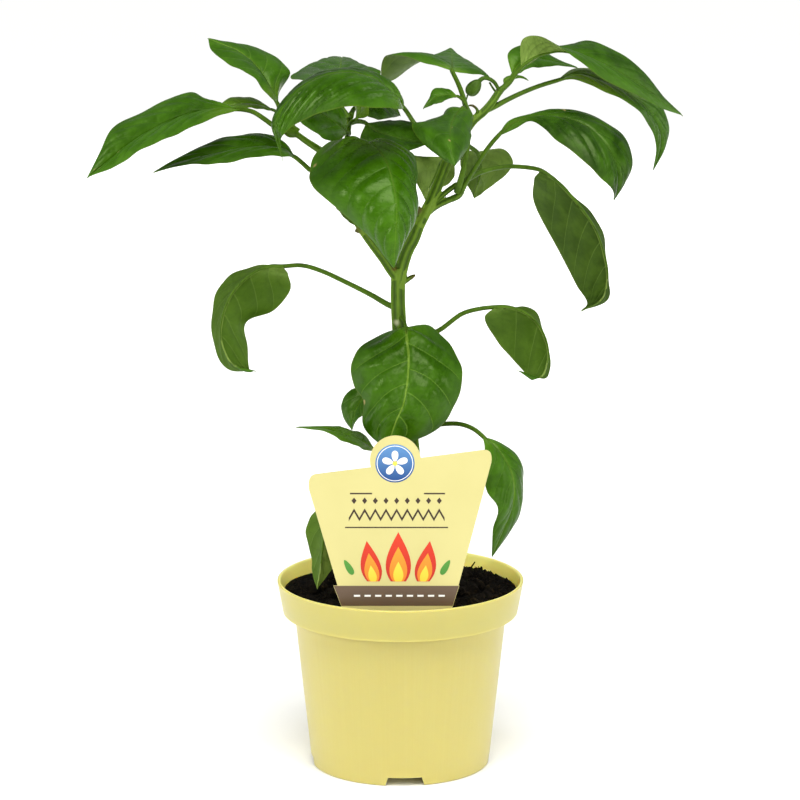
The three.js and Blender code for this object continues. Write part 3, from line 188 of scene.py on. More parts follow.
# ---- The leaves ----
# A point is (across, depth, up) in the layout that the eye at the camera sees. A margin point is
# (across, up), and its depth comes from the half-width and the turn of its side: 1 where the margin
# lies behind the midrib, -1 in front. It may have a depth step of its own: (across, step, up).
# tone runs from 0, an old dark leaf, to 1, a young pale one; pucker is the height of the swellings
# between the side veins, in millimetres.
# On a few leaves the tone, young and sides also hold painted light and shade, noted at each.
LEAVES = {
    "leaf_far_left": dict(
        stalk=[
            (-50, -11.6, 314.8), (-55.6, -14.4, 316.4), (-60.8, -15, 318.4), (-65.6, -15.6, 321.8),
            (-71, -16, 325.2), (-76.6, -18, 326.4),
        ],
        rib=[
            (-88.2, -26, 326.6), (-103.2, -42, 323.6), (-118.2, -58, 317.4), (-131.8, -72, 308.6),
            (-142, -82, 300.4), (-151.4, -90, 293.2),
        ],
        left=[(-88.8, 322.4), (-103.2, 317.2), (-115.8, 310.2), (-128.4, 304.8), (-139.2, 298)],
        right=[(-90.6, 331), (-101.2, 334.2), (-119.8, 327.4), (-138.4, 317.8), (-144.6, 306.2)],
        half=(19, 19), turn=(-1, 1), tone=0.42, pucker=0.9,
        clear=0.1, sides=(0.08, -0.08),
        scars=[(0.74, -0.15, 1.4), (0.9, -0.2, 1.3), (0.93, 0.3, 0.8)],
    ),
    "leaf_far_left_small": dict(
        stalk=[(-50.2, -7, 316), (-53.6, -2, 320.8), (-57.4, 0, 324), (-61.8, 2, 326.4)],
        rib=[(-66, 4, 327.6), (-71.8, 6, 328.8), (-77.6, 8, 329), (-83, 10, 328), (-88.8, 12, 326.6)],
        left=[(-66.2, 326.8), (-71.8, 327), (-77.6, 326.2), (-82.4, 325.6)],
        right=[(-66.6, 329.6), (-72.4, 332.2), (-78.6, 332.6), (-83.8, 331)],
        half=(9, 9), turn=(-1, 1), tone=0.72, pucker=0.3,
        beneath=0.2,
    ),
    "leaf_up_left": dict(
        stalk=[(-49.4, -9, 315.6), (-53.6, -9.6, 319), (-57.4, -11, 323.2), (-58.8, -12.4, 328.6)],
        rib=[
            (-61.2, -11, 334.4), (-66.4, -5, 343.6), (-71.2, 2, 349.6), (-77.8, 9, 354.6),
            (-86, 14, 358), (-92.2, 18, 360.8),
        ],
        left=[(-63.6, 333.8), (-69.8, 340.6), (-78, 346), (-85.6, 350.8), (-90.8, 355)],
        right=[(-58.4, 334.8), (-53, 344), (-59.2, 351.8), (-72.2, 356.6), (-83.6, 359)],
        half=(15, 16), turn=(-1, 1), tone=0.38, pucker=0.5,
        clear=0.45, young=(0.5, 0.4),
    ),
    "leaf_low_left": dict(
        stalk=[
            (-29.6, 0, 299), (-36.4, 2, 295.4), (-42.6, 1, 296.4), (-47.4, -1, 300.4),
            (-50.8, -3, 303.2),
        ],
        rib=[
            (-56.6, -7, 306.6), (-66.8, -14, 308.2), (-81.2, -24, 306.2), (-95.2, -33, 303),
            (-108.4, -41, 299.4), (-119.4, -47, 295.8),
        ],
        left=[(-56.2, 303.8), (-67.8, 302.8), (-82.2, 301.4), (-94.4, 299.6), (-107.4, 298.6)],
        right=[(-56.2, 310.2), (-65.8, 315.2), (-79.6, 313.6), (-94.2, 309.2), (-107.2, 303.2)],
        half=(18, 18), turn=(-1, 1), tone=0.26, pucker=0.9,
        clear=0.15, gloss=0.5, rise=0.45,
    ),
    "leaf_left_front": dict(
        stalk=[(23, 2, 301.8), (18.2, -8, 306.6), (12.8, -16, 312.8), (7.6, -22, 318.4), (2, -31, 326.6)],
        rib=[
            (-3.6, -39, 333.4), (-11.8, -46, 340.6), (-24.2, -56, 344.4), (-38.6, -66, 342),
            (-51.2, -75, 333.4), (-59.4, -81, 320.8), (-59, -83, 311.6), (-56.6, -84, 301.4),
        ],
        left=[
            (-2.2, 326.8), (-12.8, 326.8), (-27.6, 327.6), (-39.6, 324.6), (-48.8, 319.8), (-56, 314.4),
            (-57.8, 311),
        ],
        right=[
            (0.2, 332.4), (-6.4, 338.6), (-22.2, 342), (-38.6, 339.6), (-52.2, 331.4), (-61.4, 318.8),
            (-60.2, 311.6),
        ],
        half=(24, 22), turn=(-1, 1), tone=0.08, pucker=1.5,
        clear=0.1, gloss=1.0, every=10, rise=0.42, blister=0.3, sides=(0.12, -0.05), young=(0.4, 0.55),
        profile=[0.62, 0.95, 1, 0.9, 0.68, 0.36, 0.05],
    ),
    "leaf_back_left": dict(
        stalk=[(-25, -8, 322.2), (-27.8, -6, 326.6), (-29.8, -5, 330.4), (-30, -6, 333.4)],
        rib=[
            (-29.8, -2, 337.8), (-29, 20, 345), (-28.4, 42, 350.6), (-28.2, 62, 351.4), (-28, 84, 347.4),
        ],
        left=[(-42.4, 338.2), (-52.8, 343.2), (-46.8, 345), (-38.2, 348)],
        right=[(-16.6, 338.6), (-9.4, 343.8), (-15.6, 345), (-20.4, 346)],
        half=(24, 21), turn=(-1, -1), tone=0.35, pucker=0.8,
        gloss=0.8, beneath=0.2,
    ),
    "leaf_left_inner": dict(
        stalk=[(-25.2, -7, 315), (-25.8, -12, 315)],
        rib=[
            (-28.6, -20, 317.8), (-34.8, -30, 322.2), (-41.6, -40, 326.2), (-47.4, -47, 328.6),
            (-52.2, -50, 328.6),
        ],
        left=[(-30, 311.6), (-36.4, 312), (-43, 316.2), (-48.4, 321.2)],
        right=[(-26.6, 325.2), (-32.4, 331), (-39.6, 332.8), (-45.8, 332.4)],
        half=(15, 15), turn=(-1, 1), tone=0.5, pucker=0.6,
        clear=0.2,
    ),
    "leaf_middle_back": dict(
        stalk=[(-24.2, -5, 322.8), (-23.2, 2, 325.2), (-22, 7, 327)],
        rib=[(-18.4, 12, 329.6), (-11.8, 20, 330), (-5.4, 26, 328), (0.2, 32, 323.4)],
        left=[(-18.4, 334.4), (-11.8, 335.8), (-5, 332.8)],
        right=[(-19.4, 324.2), (-10.8, 321.8), (-4.6, 322.2)],
        half=(13, 13), turn=(1, -1), tone=0.1, pucker=0.4,
        gloss=0.8, beneath=0.2,
    ),
    "leaf_middle_pale": dict(
        stalk=[(-25.4, -6, 317.4), (-23.8, -10, 320.2), (-21.4, -12, 321.8)],
        rib=[(-19.4, -13, 325.2), (-18.4, -15, 329.6), (-18, -16, 333.8), (-17.4, -18, 337.2)],
        left=[(-21.4, 326.2), (-21.8, 330), (-19.8, 334.4)],
        right=[(-15.6, 323.2), (-15.6, 328.6), (-16, 332.8)],
        half=(7, 7), turn=(1, -1), tone=0.9, pucker=0.2,
        profile=[0.9, 1, 0.6],
    ),
    "leaf_front_large": dict(
        stalk=[(-23.4, -5, 284.2), (-24.4, 8, 292), (-22, 12, 298), (-18, 6, 301.8)],
        rib=[
            (-14.6, -28, 310.2), (-8, -42, 303.2), (-3.6, -55, 291), (-1.8, -64, 277.4),
            (-2.4, -68, 263.6), (-3.2, -66, 248.8),
        ],
        left=[(0.2, 308.4), (6.6, 301.4), (8.8, 291), (8.2, 277), (3.2, 264.2)],
        right=[
            (-33.4, 16, 309.8), (-43.8, 14, 300.4), (-42.6, 13, 289.2), (-29.4, 12, 277),
            (-15.2, 8, 263.8),
        ],
        half=(30, 41), turn=(1, 1), tone=0.46, pucker=1.3,
        # Its pale base, reaching half the leaf, is partly painted light on the upper part, where the
        # leaves above shade it.
        clear=0.12, gloss=0.7, every=11, rise=0.42, blister=0.08, young=(0.25, 0.5),
        scars=[(0.35, 0.93, 0.9)],
        profile=[0.75, 0.98, 1, 0.74, 0.38],
    ),
    "leaf_heart": dict(
        stalk=[
            (27.4, 3, 286.2), (29.6, -1, 294), (31.6, -1, 302.8), (32.6, -2, 311.6), (32, -3, 321.2),
            (30.2, -10, 327),
        ],
        rib=[
            (27.8, -22, 325.2), (25.6, -34, 321.8), (24.2, -44, 317.8), (24, -54, 313),
            (24.4, -61, 307.2), (25.4, -65, 302.4), (26.2, -67, 299),
        ],
        left=[(32.8, 326), (34.4, 321.8), (34.8, 317.4), (34, 312.8), (31.6, 306.6), (28.8, 301.8)],
        right=[(23.2, 326.8), (19.6, 323.8), (11.4, 320.2), (5.8, 317.4), (11.4, 309.4), (19.2, 303.2)],
        half=(21, 24), turn=(1, 1), tone=0.3, pucker=0.2,
        clear=0.06, gloss=0.2, blister=0.05, scars=[(0.62, 0.02, 0.6), (0.45, -0.05, 0.4)],
        profile=[0.55, 0.8, 1, 1, 0.72, 0.36],
    ),
    "leaf_back_dark": dict(
        stalk=[(-25, -6, 319.8), (-20.4, 4, 320.6), (-16.6, 12, 319.8)],
        rib=[(-11.8, 16, 316), (-5, 20, 313.6), (1.8, 22, 311.6), (8.4, 24, 310.2), (14.8, 25, 310.2)],
        left=[(-8.8, 320.6), (-2.2, 321.6), (5.2, 319.8), (10.8, 315.4)],
        right=[(-19, 312), (-10.8, 306.6), (-1.6, 305.2), (5.2, 306.4)],
        # Its low tone is painted shade, for the shade it lies in behind the other leaves.
        half=(16, 16), turn=(1, -1), tone=0.1, pucker=0.3,
        clear=0.1,
    ),
    "leaf_inner_right": dict(
        stalk=[(19.6, 4, 294), (22, 12, 299), (22.4, 20, 303.2)],
        rib=[
            (19.2, 25, 300.4), (17.2, 26, 295.4), (14.8, 24, 290.2), (12.8, 21, 285.8),
            (12.2, 18, 281.6),
        ],
        left=[(11.4, 303.6), (4.2, 303.8), (5.6, 296), (8.6, 289.2)],
        right=[(24.8, 301.8), (26.8, 296), (23.4, 290.6), (16.2, 286.2)],
        half=(17, 14), turn=(1, 1), tone=0.9, pucker=0.8,
    ),
    "leaf_right_inner": dict(
        stalk=[(27.2, 7, 311), (30.2, 14, 310.6), (33.6, 20, 308.2), (37, 23, 305.8)],
        rib=[(38, 26, 302.8), (39, 28, 298), (38, 27, 292), (36.6, 24, 287.2), (35.6, 21, 283)],
        left=[(30.2, 305.8), (28.8, 299), (30.8, 292.6), (33.6, 287.2)],
        right=[(49.4, 307.2), (54.4, 300.8), (48.6, 292.6), (40.8, 286.4)],
        half=(14, 17), turn=(1, 1), tone=0.72, pucker=0.7,
    ),
    "leaf_right_drooping": dict(
        stalk=[
            (28.4, 5, 288.6), (30.2, 6, 290.6), (37, 10, 295), (43.8, 13, 297.4), (52.4, 16, 298.6),
            (62.6, 19, 298), (67.8, 21, 296.8),
        ],
        rib=[
            (75.6, 26, 291), (86, 34, 279.8), (94.2, 42, 268), (98.8, 48, 254.8), (100.4, 51, 242.4),
            (98, 51, 233.6), (87.8, 46, 227.6),
        ],
        left=[(63.8, 291.6), (64.8, 280.8), (71.6, 267), (78.8, 253.4), (85.8, 240), (90.8, 231.6)],
        right=[(77.6, 291), (87.8, 281.4), (95.8, 269.6), (100.2, 255.8), (101.8, 242.4), (100.4, 233)],
        half=(25, 22), turn=(-1, 1), tone=0.05, pucker=1.2,
        profile=[0.7, 0.97, 1, 0.86, 0.62, 0.3],
    ),
    "leaf_right_glossy": dict(
        stalk=[
            (25, 3, 282.8), (28.4, 3, 284.8), (31.6, 2, 290.6), (37.2, 1, 299.8), (42.2, 0, 307.6),
            (46.6, 0, 313),
        ],
        rib=[
            (53.8, 0, 319.6), (61.8, -1, 322.8), (71.6, -6, 323.2), (82.2, -11, 321.8),
            (92.8, -17, 316.4), (100.6, -22, 307.2), (104.6, -25, 297), (104.6, -26, 288.6),
            (103.2, -26, 282),
        ],
        left=[
            (52, 320.8), (61.8, 324), (72, 325.4), (84, 325.6), (97, 321.8), (107.8, 312.6),
            (111.8, 300.4), (108.6, 290.2),
        ],
        right=[
            (55.6, 317.2), (62, 320.6), (69.2, 317.4), (76, 311), (85.6, 303.2), (93.4, 296.2),
            (99.4, 291), (102.6, 287.2),
        ],
        half=(19, 20), turn=(1, -1), tone=0.02, pucker=1.0,
        clear=0.06, gloss=0.55, rise=0.45, blister=0.2, young=(0.1, 0.2), scars=[(0.4, -0.45, 0.7)],
        profile=[0.13, 0.17, 0.6, 0.92, 1, 0.86, 0.6, 0.3],
    ),
    "leaf_right_long": dict(
        stalk=[
            (40.2, 10, 325.6), (45, 13, 327.6), (52.2, 17, 331.4), (59.4, 20, 334.8), (67, 23, 337.8),
            (74.8, 26, 340.2),
        ],
        rib=[
            (84.4, 32, 343), (96.8, 42, 339.6), (109, 53, 333.8), (119.2, 63, 325.2), (125, 69, 314.4),
            (124.8, 71, 305.2), (121.8, 71, 296.2),
        ],
        left=[(83.4, 346), (97.8, 344.4), (112.2, 338.6), (123.8, 330.4), (129.2, 317.8), (128, 308.2)],
        right=[(84.8, 340.4), (95, 337), (105.6, 331.4), (115.2, 324.6), (121.4, 316), (123.2, 308.2)],
        # The raised tone and the pale base are painted light, lifting the base where leaf_top_right
        # shades it.
        half=(14, 14), turn=(1, -1), tone=0.3, pucker=0.8,
        clear=0.12, gloss=0.8, every=10, young=(0.8, 0.8),
        profile=[0.7, 0.97, 1, 0.86, 0.6, 0.34],
    ),
    "leaf_top_right": dict(
        stalk=[(47, 14, 334.8), (52.2, 15, 339.2), (55.6, 15, 344), (57.8, 15, 346.4)],
        rib=[
            (62.6, 16, 350.8), (69.4, 18, 353.6), (78, 20, 354.8), (91, 24, 351.2), (105.4, 32, 344),
            (118, 42, 336.2), (126.8, 51, 329.6), (136, 64, 323.4),
        ],
        left=[
            (65, 14, 349.8), (71.8, 15, 354.2), (78, 14, 357), (89.2, 359.4), (104.4, 353.6),
            (116.4, 345.4), (126.8, 332.4),
        ],
        right=[
            (58.6, -4, 360.4), (66.8, -7, 362), (79.8, -14, 353.6), (87.6, 347.8), (101.2, 339.6),
            (113.8, 333.4), (124.4, 327.4),
        ],
        half=(17, 17), turn=(1, -1), tone=0.16, pucker=0.35,
        clear=0.15, beneath=0.55, sides=(0, 0.36),
        profile=[0.6, 0.9, 1, 1, 0.85, 0.6, 0.3],
    ),
    "leaf_top_right_back": dict(
        stalk=[(44.6, 13, 330), (47.8, 22, 333.8), (51.2, 30, 338.6), (53.6, 34, 343)],
        rib=[(57, 38, 348.4), (62.6, 42, 350.8), (69.8, 46, 350.2), (77, 50, 348.4), (85.2, 56, 346.6)],
        left=[(51.6, 353.4), (59.2, 357.8), (70.4, 353.4), (78, 349.4)],
        right=[(57.8, 344.4), (62.6, 346.2), (69.4, 347.2), (77, 347.2)],
        half=(11, 11), turn=(1, -1), tone=0.4, pucker=0.3,
    ),
    "leaf_bud_right": dict(
        stalk=[(48.2, 17, 335.4), (49.8, 19, 338.2)],
        rib=[(50.8, 19.6, 340.6), (54.6, 21, 342), (58, 22, 342), (61.6, 23, 340.6)],
        left=[(49.6, 341.4), (54, 342.8), (58, 342.6)],
        right=[(52.6, 339.6), (55, 341.2), (58, 341.4)],
        half=(3.5, 3.5), turn=(1, -1), tone=0.6, pucker=0.1,
        profile=[0.9, 1, 0.6],
    ),
    "leaf_top_middle": dict(
        stalk=[(32, 5, 318.4), (31.6, 2, 327), (29.2, 0, 335.4), (27.2, 0, 340.2), (24.8, 0, 345)],
        rib=[
            (24.8, 10, 347.2), (24.8, 24, 349.8), (24.8, 38, 352.2), (24.6, 50, 353.8),
            (24.2, 62, 356.2),
        ],
        left=[(12.8, -3, 349), (-6.4, -8, 351.4), (-7.8, -4, 340.4), (10.4, -2, 348.8)],
        right=[(33.8, -3, 343.2), (42.8, -6, 342.8), (37.2, -4, 345.6), (29.6, -1, 351.2)],
        half=(32, 19), turn=(-1, -1), tone=0.42, pucker=0.4,
        clear=0.12, beneath=0.25,
    ),
    "leaf_small_top": dict(
        stalk=[(34.4, 3, 322.2), (32, -4, 327.6), (29.6, -5, 331.4), (27.2, -6, 332.8)],
        rib=[
            (24.4, -7, 333.2), (21, -8, 333.2), (17.6, -9.6, 332.2), (14.8, -12, 330.4),
            (10.8, -15, 326.8),
        ],
        left=[(23.8, 331.6), (21, 330.4), (17.2, 329.2), (14.4, 328)],
        right=[(23.6, 336), (19.6, 337), (15.6, 335.8), (13.8, 332)],
        half=(7, 7), turn=(-1, 1), tone=0.4, pucker=0.15,
        clear=0.15, blister=0.1,
        profile=[0.75, 1, 0.95, 0.5],
    ),
    "leaf_low_right": dict(
        stalk=[
            (-0.2, 4, 216.2), (8, 10, 215.2), (17.8, 12, 217.4), (30, 12, 226.2), (38.2, 12, 228.6),
            (46.6, 12, 229.6),
        ],
        rib=[
            (54.8, 15, 228.8), (64, 18, 224.2), (70.4, 20, 214.2), (72, 20, 203.8), (68.6, 18, 194.8),
            (57, 12, 198.2),
        ],
        left=[(41.4, 225.2), (46.8, 213.2), (54.4, 204.2), (60.8, 196.8), (64.4, 193.2)],
        right=[(55.8, 229.6), (65, 227.6), (71, 216.2), (72.8, 204.2), (71.2, 194.2)],
        half=(20, 17), turn=(-1, 1), tone=0.4, pucker=1.0,
        profile=[0.8, 1, 0.9, 0.62, 0.25],
    ),
    "leaf_mid_left": dict(
        stalk=[
            (-1.6, 0, 229.6), (-4.6, 0, 230.2), (-14.8, 1, 236), (-27, 2, 242.2), (-38.6, 4, 247.6),
            (-47.8, 5, 250.2), (-57, 6, 249.8),
        ],
        rib=[
            (-66.2, 9, 248.8), (-76.4, 12, 242.4), (-83.4, 14, 233), (-86.8, 14, 222.2),
            (-87, 12, 211.8), (-81.8, 9, 201.2), (-70.6, 4, 197.8),
        ],
        left=[
            (-69.2, 250.8), (-79.8, 246.6), (-88.4, 238), (-92.6, 224.8), (-90.6, 210.2), (-84.2, 198.8),
        ],
        right=[
            (-54.2, 245.4), (-53.6, 237.6), (-62.4, 227.6), (-74.2, 222.6), (-74.4, 209.8),
            (-73.4, 197.8),
        ],
        half=(20, 24), turn=(1, -1), tone=0.5, pucker=1.0,
        profile=[0.7, 1, 1, 0.8, 0.6, 0.4],
    ),
    "leaf_front_low": dict(
        stalk=[(-0.2, -2, 225.2), (1.8, -6, 222.6), (2.8, -10, 219.6)],
        rib=[
            (3, -16, 214.8), (4, -22, 205.6), (3.8, -26, 197), (3, -29.6, 189), (1.2, -32, 180.4),
            (-2.4, -33, 171.8), (-7, -31, 158.2),
        ],
        left=[(13.6, 220.2), (23.4, 213), (28.8, 202.2), (29.8, 191.2), (26.6, 179.8), (18.8, 169.2)],
        right=[
            (-6.6, 217.6), (-18, 210.6), (-23.8, 10, 201.2), (-23.4, 11, 191.2), (-18, 9, 182.8),
            (-17.6, 9, 169.2),
        ],
        half=(28, 28), turn=(1, 1), tone=0.32, pucker=2.3,
        clear=0.7, gloss=0.6, slim=0.62, every=14, rise=0.45, blister=0.4, scars=[(0.72, 0.97, 0.9)],
        profile=[0.62, 0.9, 1, 1, 0.93, 0.8],
    ),
    "leaf_low_back": dict(
        stalk=[(2.2, 3, 187.2), (-4.2, 10, 189.2), (-11, 14, 189.2)],
        rib=[(-17.4, 15, 185.2), (-21.2, 15, 179.2), (-22.8, 13, 173.8), (-23.8, 10, 168.2)],
        left=[(-13, 181.2), (-16.8, 177.2), (-20.8, 173.8)],
        right=[(-23.6, 188.6), (-29, 181.8), (-27.2, 173.2)],
        half=(9, 10), turn=(-1, 1), tone=0.3, pucker=0.4,
        gloss=0.6,
        profile=[0.9, 1, 0.6],
    ),
    "leaf_low_left_narrow": dict(
        stalk=[(6.2, -1, 152.2), (-0.2, -8, 155.6), (-6, -8, 156.6), (-12, -10, 157.6)],
        rib=[(-17.8, -14, 161.6), (-26.6, -25, 165.4), (-36.4, -37, 168.2), (-51.2, -52, 169.8)],
        left=[(-18.4, 158.6), (-26.6, 162.2), (-36, 166.8)],
        right=[(-18.4, 166.2), (-26.2, 169), (-34, 170.2)],
        half=(11, 11), turn=(-1, 1), tone=0.6, pucker=0.2,
        gloss=0.6,
        profile=[0.9, 1, 0.7],
    ),
    "leaf_low_right_curled": dict(
        stalk=[
            (4.8, 3, 167.2), (11.6, 8, 169.8), (19, 6, 171), (28.8, 0, 171.2), (35.6, -5, 168.8),
            (40.4, -9, 165),
        ],
        rib=[
            (46.8, -14, 159.2), (52.8, -18, 150.6), (55.8, -20, 140.6), (55, -20, 129.4),
            (50.6, -18, 117.6), (45, -15, 103.6),
        ],
        left=[(49.8, 161.6), (59.2, 151.6), (60.6, 140.6), (59.2, 128.4), (54, 116.6)],
        right=[(41.2, 157.6), (41, 148), (42.6, 137), (48, 128.8), (45.6, 117.2)],
        half=(13, 14), turn=(1, -1), tone=0.35, pucker=0.9,
        profile=[0.7, 1, 1, 0.75, 0.45],
    ),
    "leaf_hanging_left": dict(
        stalk=[(6.6, -2, 143), (-2.6, -14, 144), (-17.4, -22, 142), (-27.2, -26, 137), (-32.2, -28, 132)],
        rib=[
            (-35.6, -30, 125.4), (-37.6, -31, 116.2), (-38.6, -31, 106), (-39.8, -29, 96.2),
            (-41.2, -27, 87.6),
        ],
        left=[(-43, 126.6), (-46.2, 118.2), (-44.6, 105.4), (-43.2, 94.8)],
        right=[(-29.2, 121.8), (-29.2, 112), (-31.8, 103), (-35.2, 95.8)],
        half=(12, 12), turn=(1, 1), tone=0.55, pucker=0.5,
        # sides paints the right half paler: painted light on the half that turns away from the light.
        clear=0.2, sides=(0, 0.5),
        profile=[0.8, 1, 0.85, 0.5],
    ),
    "leaf_back_upper": dict(
        stalk=[(-17, -1, 266.8), (-16.2, 12, 273), (-18, 28, 280.4)],
        rib=[
            (-18.6, 42, 282.8), (-19, 60, 283.2), (-19, 76, 280.8), (-18.6, 86, 275.4),
            (-17.6, 91, 266.6),
        ],
        left=[(-26.4, 281.4), (-31.2, 279.4), (-29.2, 275.4), (-24.4, 271.6)],
        right=[(-10.8, 281.4), (-7, 279.4), (-8, 275.4), (-11.8, 271.6)],
        half=(19, 19), turn=(1, 1), tone=0.3, pucker=1.0,
        gloss=0.7,
    ),
    "leaf_back_lower": dict(
        stalk=[(1.2, 2, 205.2), (1.8, 12, 208.2), (2.8, 26, 209.8)],
        rib=[(3.2, 40, 210.2), (3.8, 58, 208.8), (4.2, 74, 204.2), (5.2, 84, 197.2), (6.6, 90, 187.2)],
        left=[(-6, 208.2), (-11, 205.2), (-8, 200.2), (-2.2, 194.2)],
        right=[(12.4, 208.2), (18.4, 205.2), (16.8, 200.2), (13, 194.2)],
        half=(20, 20), turn=(1, 1), tone=0.4, pucker=0.8,
    ),
}

# ---- The stem with its branches: paths in the same layout, and the radii at both ends ----
LIMBS = [
    (  # the main stem, from inside the soil to the fork
        [(6.8, 0, 56), (6.8, 0, 100), (6.3, 0, 132.7), (5.8, 0, 157.2), (2.8, 0, 183.2), (0.1, 0, 210.7),
         (-0.7, 0, 222.2), (-1.2, 0, 233.2), (-1.1, 0, 242.7), (-0.9, 0, 249.2)],
        (3.7, 3.6),
    ),
    (  # the left branch
        [(-1.4, 0, 244.2), (-4.7, -0.5, 248.7), (-7.7, -1, 253.2), (-12.2, -2, 259.2), (-17.2, -2, 266.2),
         (-21.2, -1, 272.7), (-24.2, -1, 280.7), (-27.2, -1, 289.7), (-30.7, -3, 298.2),
         (-36.2, -5, 304.7), (-41.2, -7, 308.2), (-45.7, -9, 311.2), (-50.7, -10, 315)],
        (2.9, 1.4),
    ),
    (  # its shoot behind the front leaf
        [(-29.7, -3, 297.2), (-27.7, -5, 305.7), (-25.7, -6, 312.7), (-24.7, -6, 319.2),
         (-24.7, -6, 322.2)],
        (1.4, 1.3),
    ),
    (  # the right branch
        [(-0.7, 0, 244.2), (1.8, 0, 253.7), (3.8, 0.5, 258.7), (6.3, 1, 263.2), (8.8, 1.5, 269.7),
         (11.3, 2, 274.7), (14.8, 3, 281.7), (17.3, 4, 287.7), (20.8, 5, 296.7), (23.3, 6, 303.2),
         (27.3, 6.5, 311.2), (31.8, 7, 316.7), (35.3, 8, 321.2), (39.8, 10, 325), (43.8, 12, 329.5),
         (47.4, 14, 335)],
        (3.4, 1.8),
    ),
    # the two side shoots of the right branch, and the knot where they meet
    ([(12.8, 2, 277.7), (19.3, 3, 283.7), (22.8, 4, 286.7), (27.3, 4, 290)], (1.3, 1.3)),
    ([(11.8, 2, 274.7), (17.3, 3, 279.2), (23.3, 3, 282.2), (27.8, 3, 284.2), (29.8, 3.5, 286.7)],
     (1.5, 1.5)),
    ([(26.6, 4, 290.8), (28.3, 3.5, 287.2), (28.8, 3.5, 284.7)], (1.3, 1.6)),
    # stubs where a leaf or a fruit stalk was lost, and small knobs at the forks
    ([(-15.2, -2, 265.2), (-19.2, -2, 266.7), (-22.2, -2, 267.4)], (1.4, 1.2)),
    ([(-0.7, 0, 240.2), (3.8, 0, 243.4), (7.3, 0, 245.6)], (1.7, 1.1)),
    ([(2, 0, 242.7), (2.8, 0, 247)], (1, 0.7)),
    ([(9.3, 1.5, 270.2), (8.7, 1, 274.7), (9.4, 0, 279.2)], (1.6, 1.2)),
    ([(-49.2, -9.5, 314.2), (-53.2, -10, 313.7), (-56.2, -10, 315.2)], (1.5, 0.9)),
    ([(34.8, 8, 321.2), (37.1, 8, 325.7), (34.8, 8, 328.2), (32.3, 8, 328.2)], (1.1, 0.6)),
]
STUBS = (7, 8, 9, 10, 11, 12)  # the limbs that end blindly
BUD = {
    "centre": (35.2, 10, 337),
    "radius": 3.2,
    "half_length": 4.6,
    "lean": 0.7,
    "stalk": [(48.2, 13.8, 333.6), (47.2, 13.4, 336), (45, 12, 339.6), (42, 11, 341.4), (39.6, 10, 341.4),
              (37, 10, 339.4)],
    "stalk_radius": 0.95,
    "second": [(46.8, 13.5, 334), (44.8, 13, 336.2), (42.8, 12, 339.4)],
    "second_radius": 0.6,
    "style": [(32.8, 10, 334.4), (32.2, 10, 333), (31.6, 10, 330.7)],
    "style_radius": 0.45,
}
# Corky spots on the rind: a place in the part's own frame, and a radius.
KNOTS = [
    ((0, 0, 241.5), 3.4), ((-20.5, -2, 267.5), 3.4), ((9, 0, 277.5), 3), ((6.5, 0, 244.5), 2.8),
    ((-1, 0, 215.5), 2), ((35, 8, 327.5), 3.6), ((-55.5, -10, 314.5), 2.6), ((47.5, 13, 335), 2.4),
    ((28, 4, 288), 2.2),
]
SHEATH = ((-2.1, -3.6, 222.5), 2.2)  # a dry pale sheath at the lowest leaf
FORK_SPOT = ((-3, -3, 249), 2.2)  # a reddish spot in the fork


# ---- Colours and nodes ----
ATTRIBUTE, MATH, MIX = "ShaderNodeAttribute", "ShaderNodeMath", "ShaderNodeMix"
NOISE, STEP = "ShaderNodeTexNoise", "ShaderNodeMapRange"
RAMP, SPLIT, JOIN = "ShaderNodeValToRGB", "ShaderNodeSeparateXYZ", "ShaderNodeCombineXYZ"
VECTOR, PLACE, BUMP = "ShaderNodeVectorMath", "ShaderNodeTexCoord", "ShaderNodeBump"
SOFTLY = {"interpolation_type": "SMOOTHSTEP"}  # a step without hard ends


def paint(hex_code):
    """An sRGB hex value as linear red, green, blue and alpha."""
    parts = [int(hex_code[k : k + 2], 16) / 255 for k in (1, 3, 5)]
    return tuple(p / 12.92 if p <= 0.04045 else ((p + 0.055) / 1.055) ** 2.4 for p in parts) + (1,)


def feed(tree, node, inputs):
    """Gives a node its inputs: values, hex colours, sockets, or nodes for their first output."""
    for key, value in inputs.items():
        if isinstance(value, bpy.types.Node):
            value = next(output for output in value.outputs if output.enabled)
        if isinstance(value, bpy.types.NodeSocket):
            tree.links.new(value, node.inputs[key])
        else:
            hex_given = isinstance(value, str) and value.startswith("#")
            node.inputs[key].default_value = paint(value) if hex_given else value


def add(tree, kind, inputs=None, stops=(), **settings):
    """Adds one node with its settings, the stops of its ramp and its inputs."""
    made = tree.nodes.new(kind)
    for key, value in settings.items():
        setattr(made, key, value)
    for number, (position, colour) in enumerate(stops):
        elements = made.color_ramp.elements
        element = elements[number] if number < len(elements) else elements.new(position)
        element.position = position
        element.color = paint(colour)
    feed(tree, made, inputs or {})
    return made


def finish_of(name, constants):
    """A new material, its node tree and its shader, with the values that are the same all over."""
    material = bpy.data.materials.new(name)
    material.use_nodes = True
    tree = material.node_tree
    shader = tree.nodes["Principled BSDF"]
    feed(tree, shader, constants)
    return material, tree, shader


GREEN_SHEEN = (0.8, 1.0, 0.45, 1.0)  # living green tissue tints what it reflects


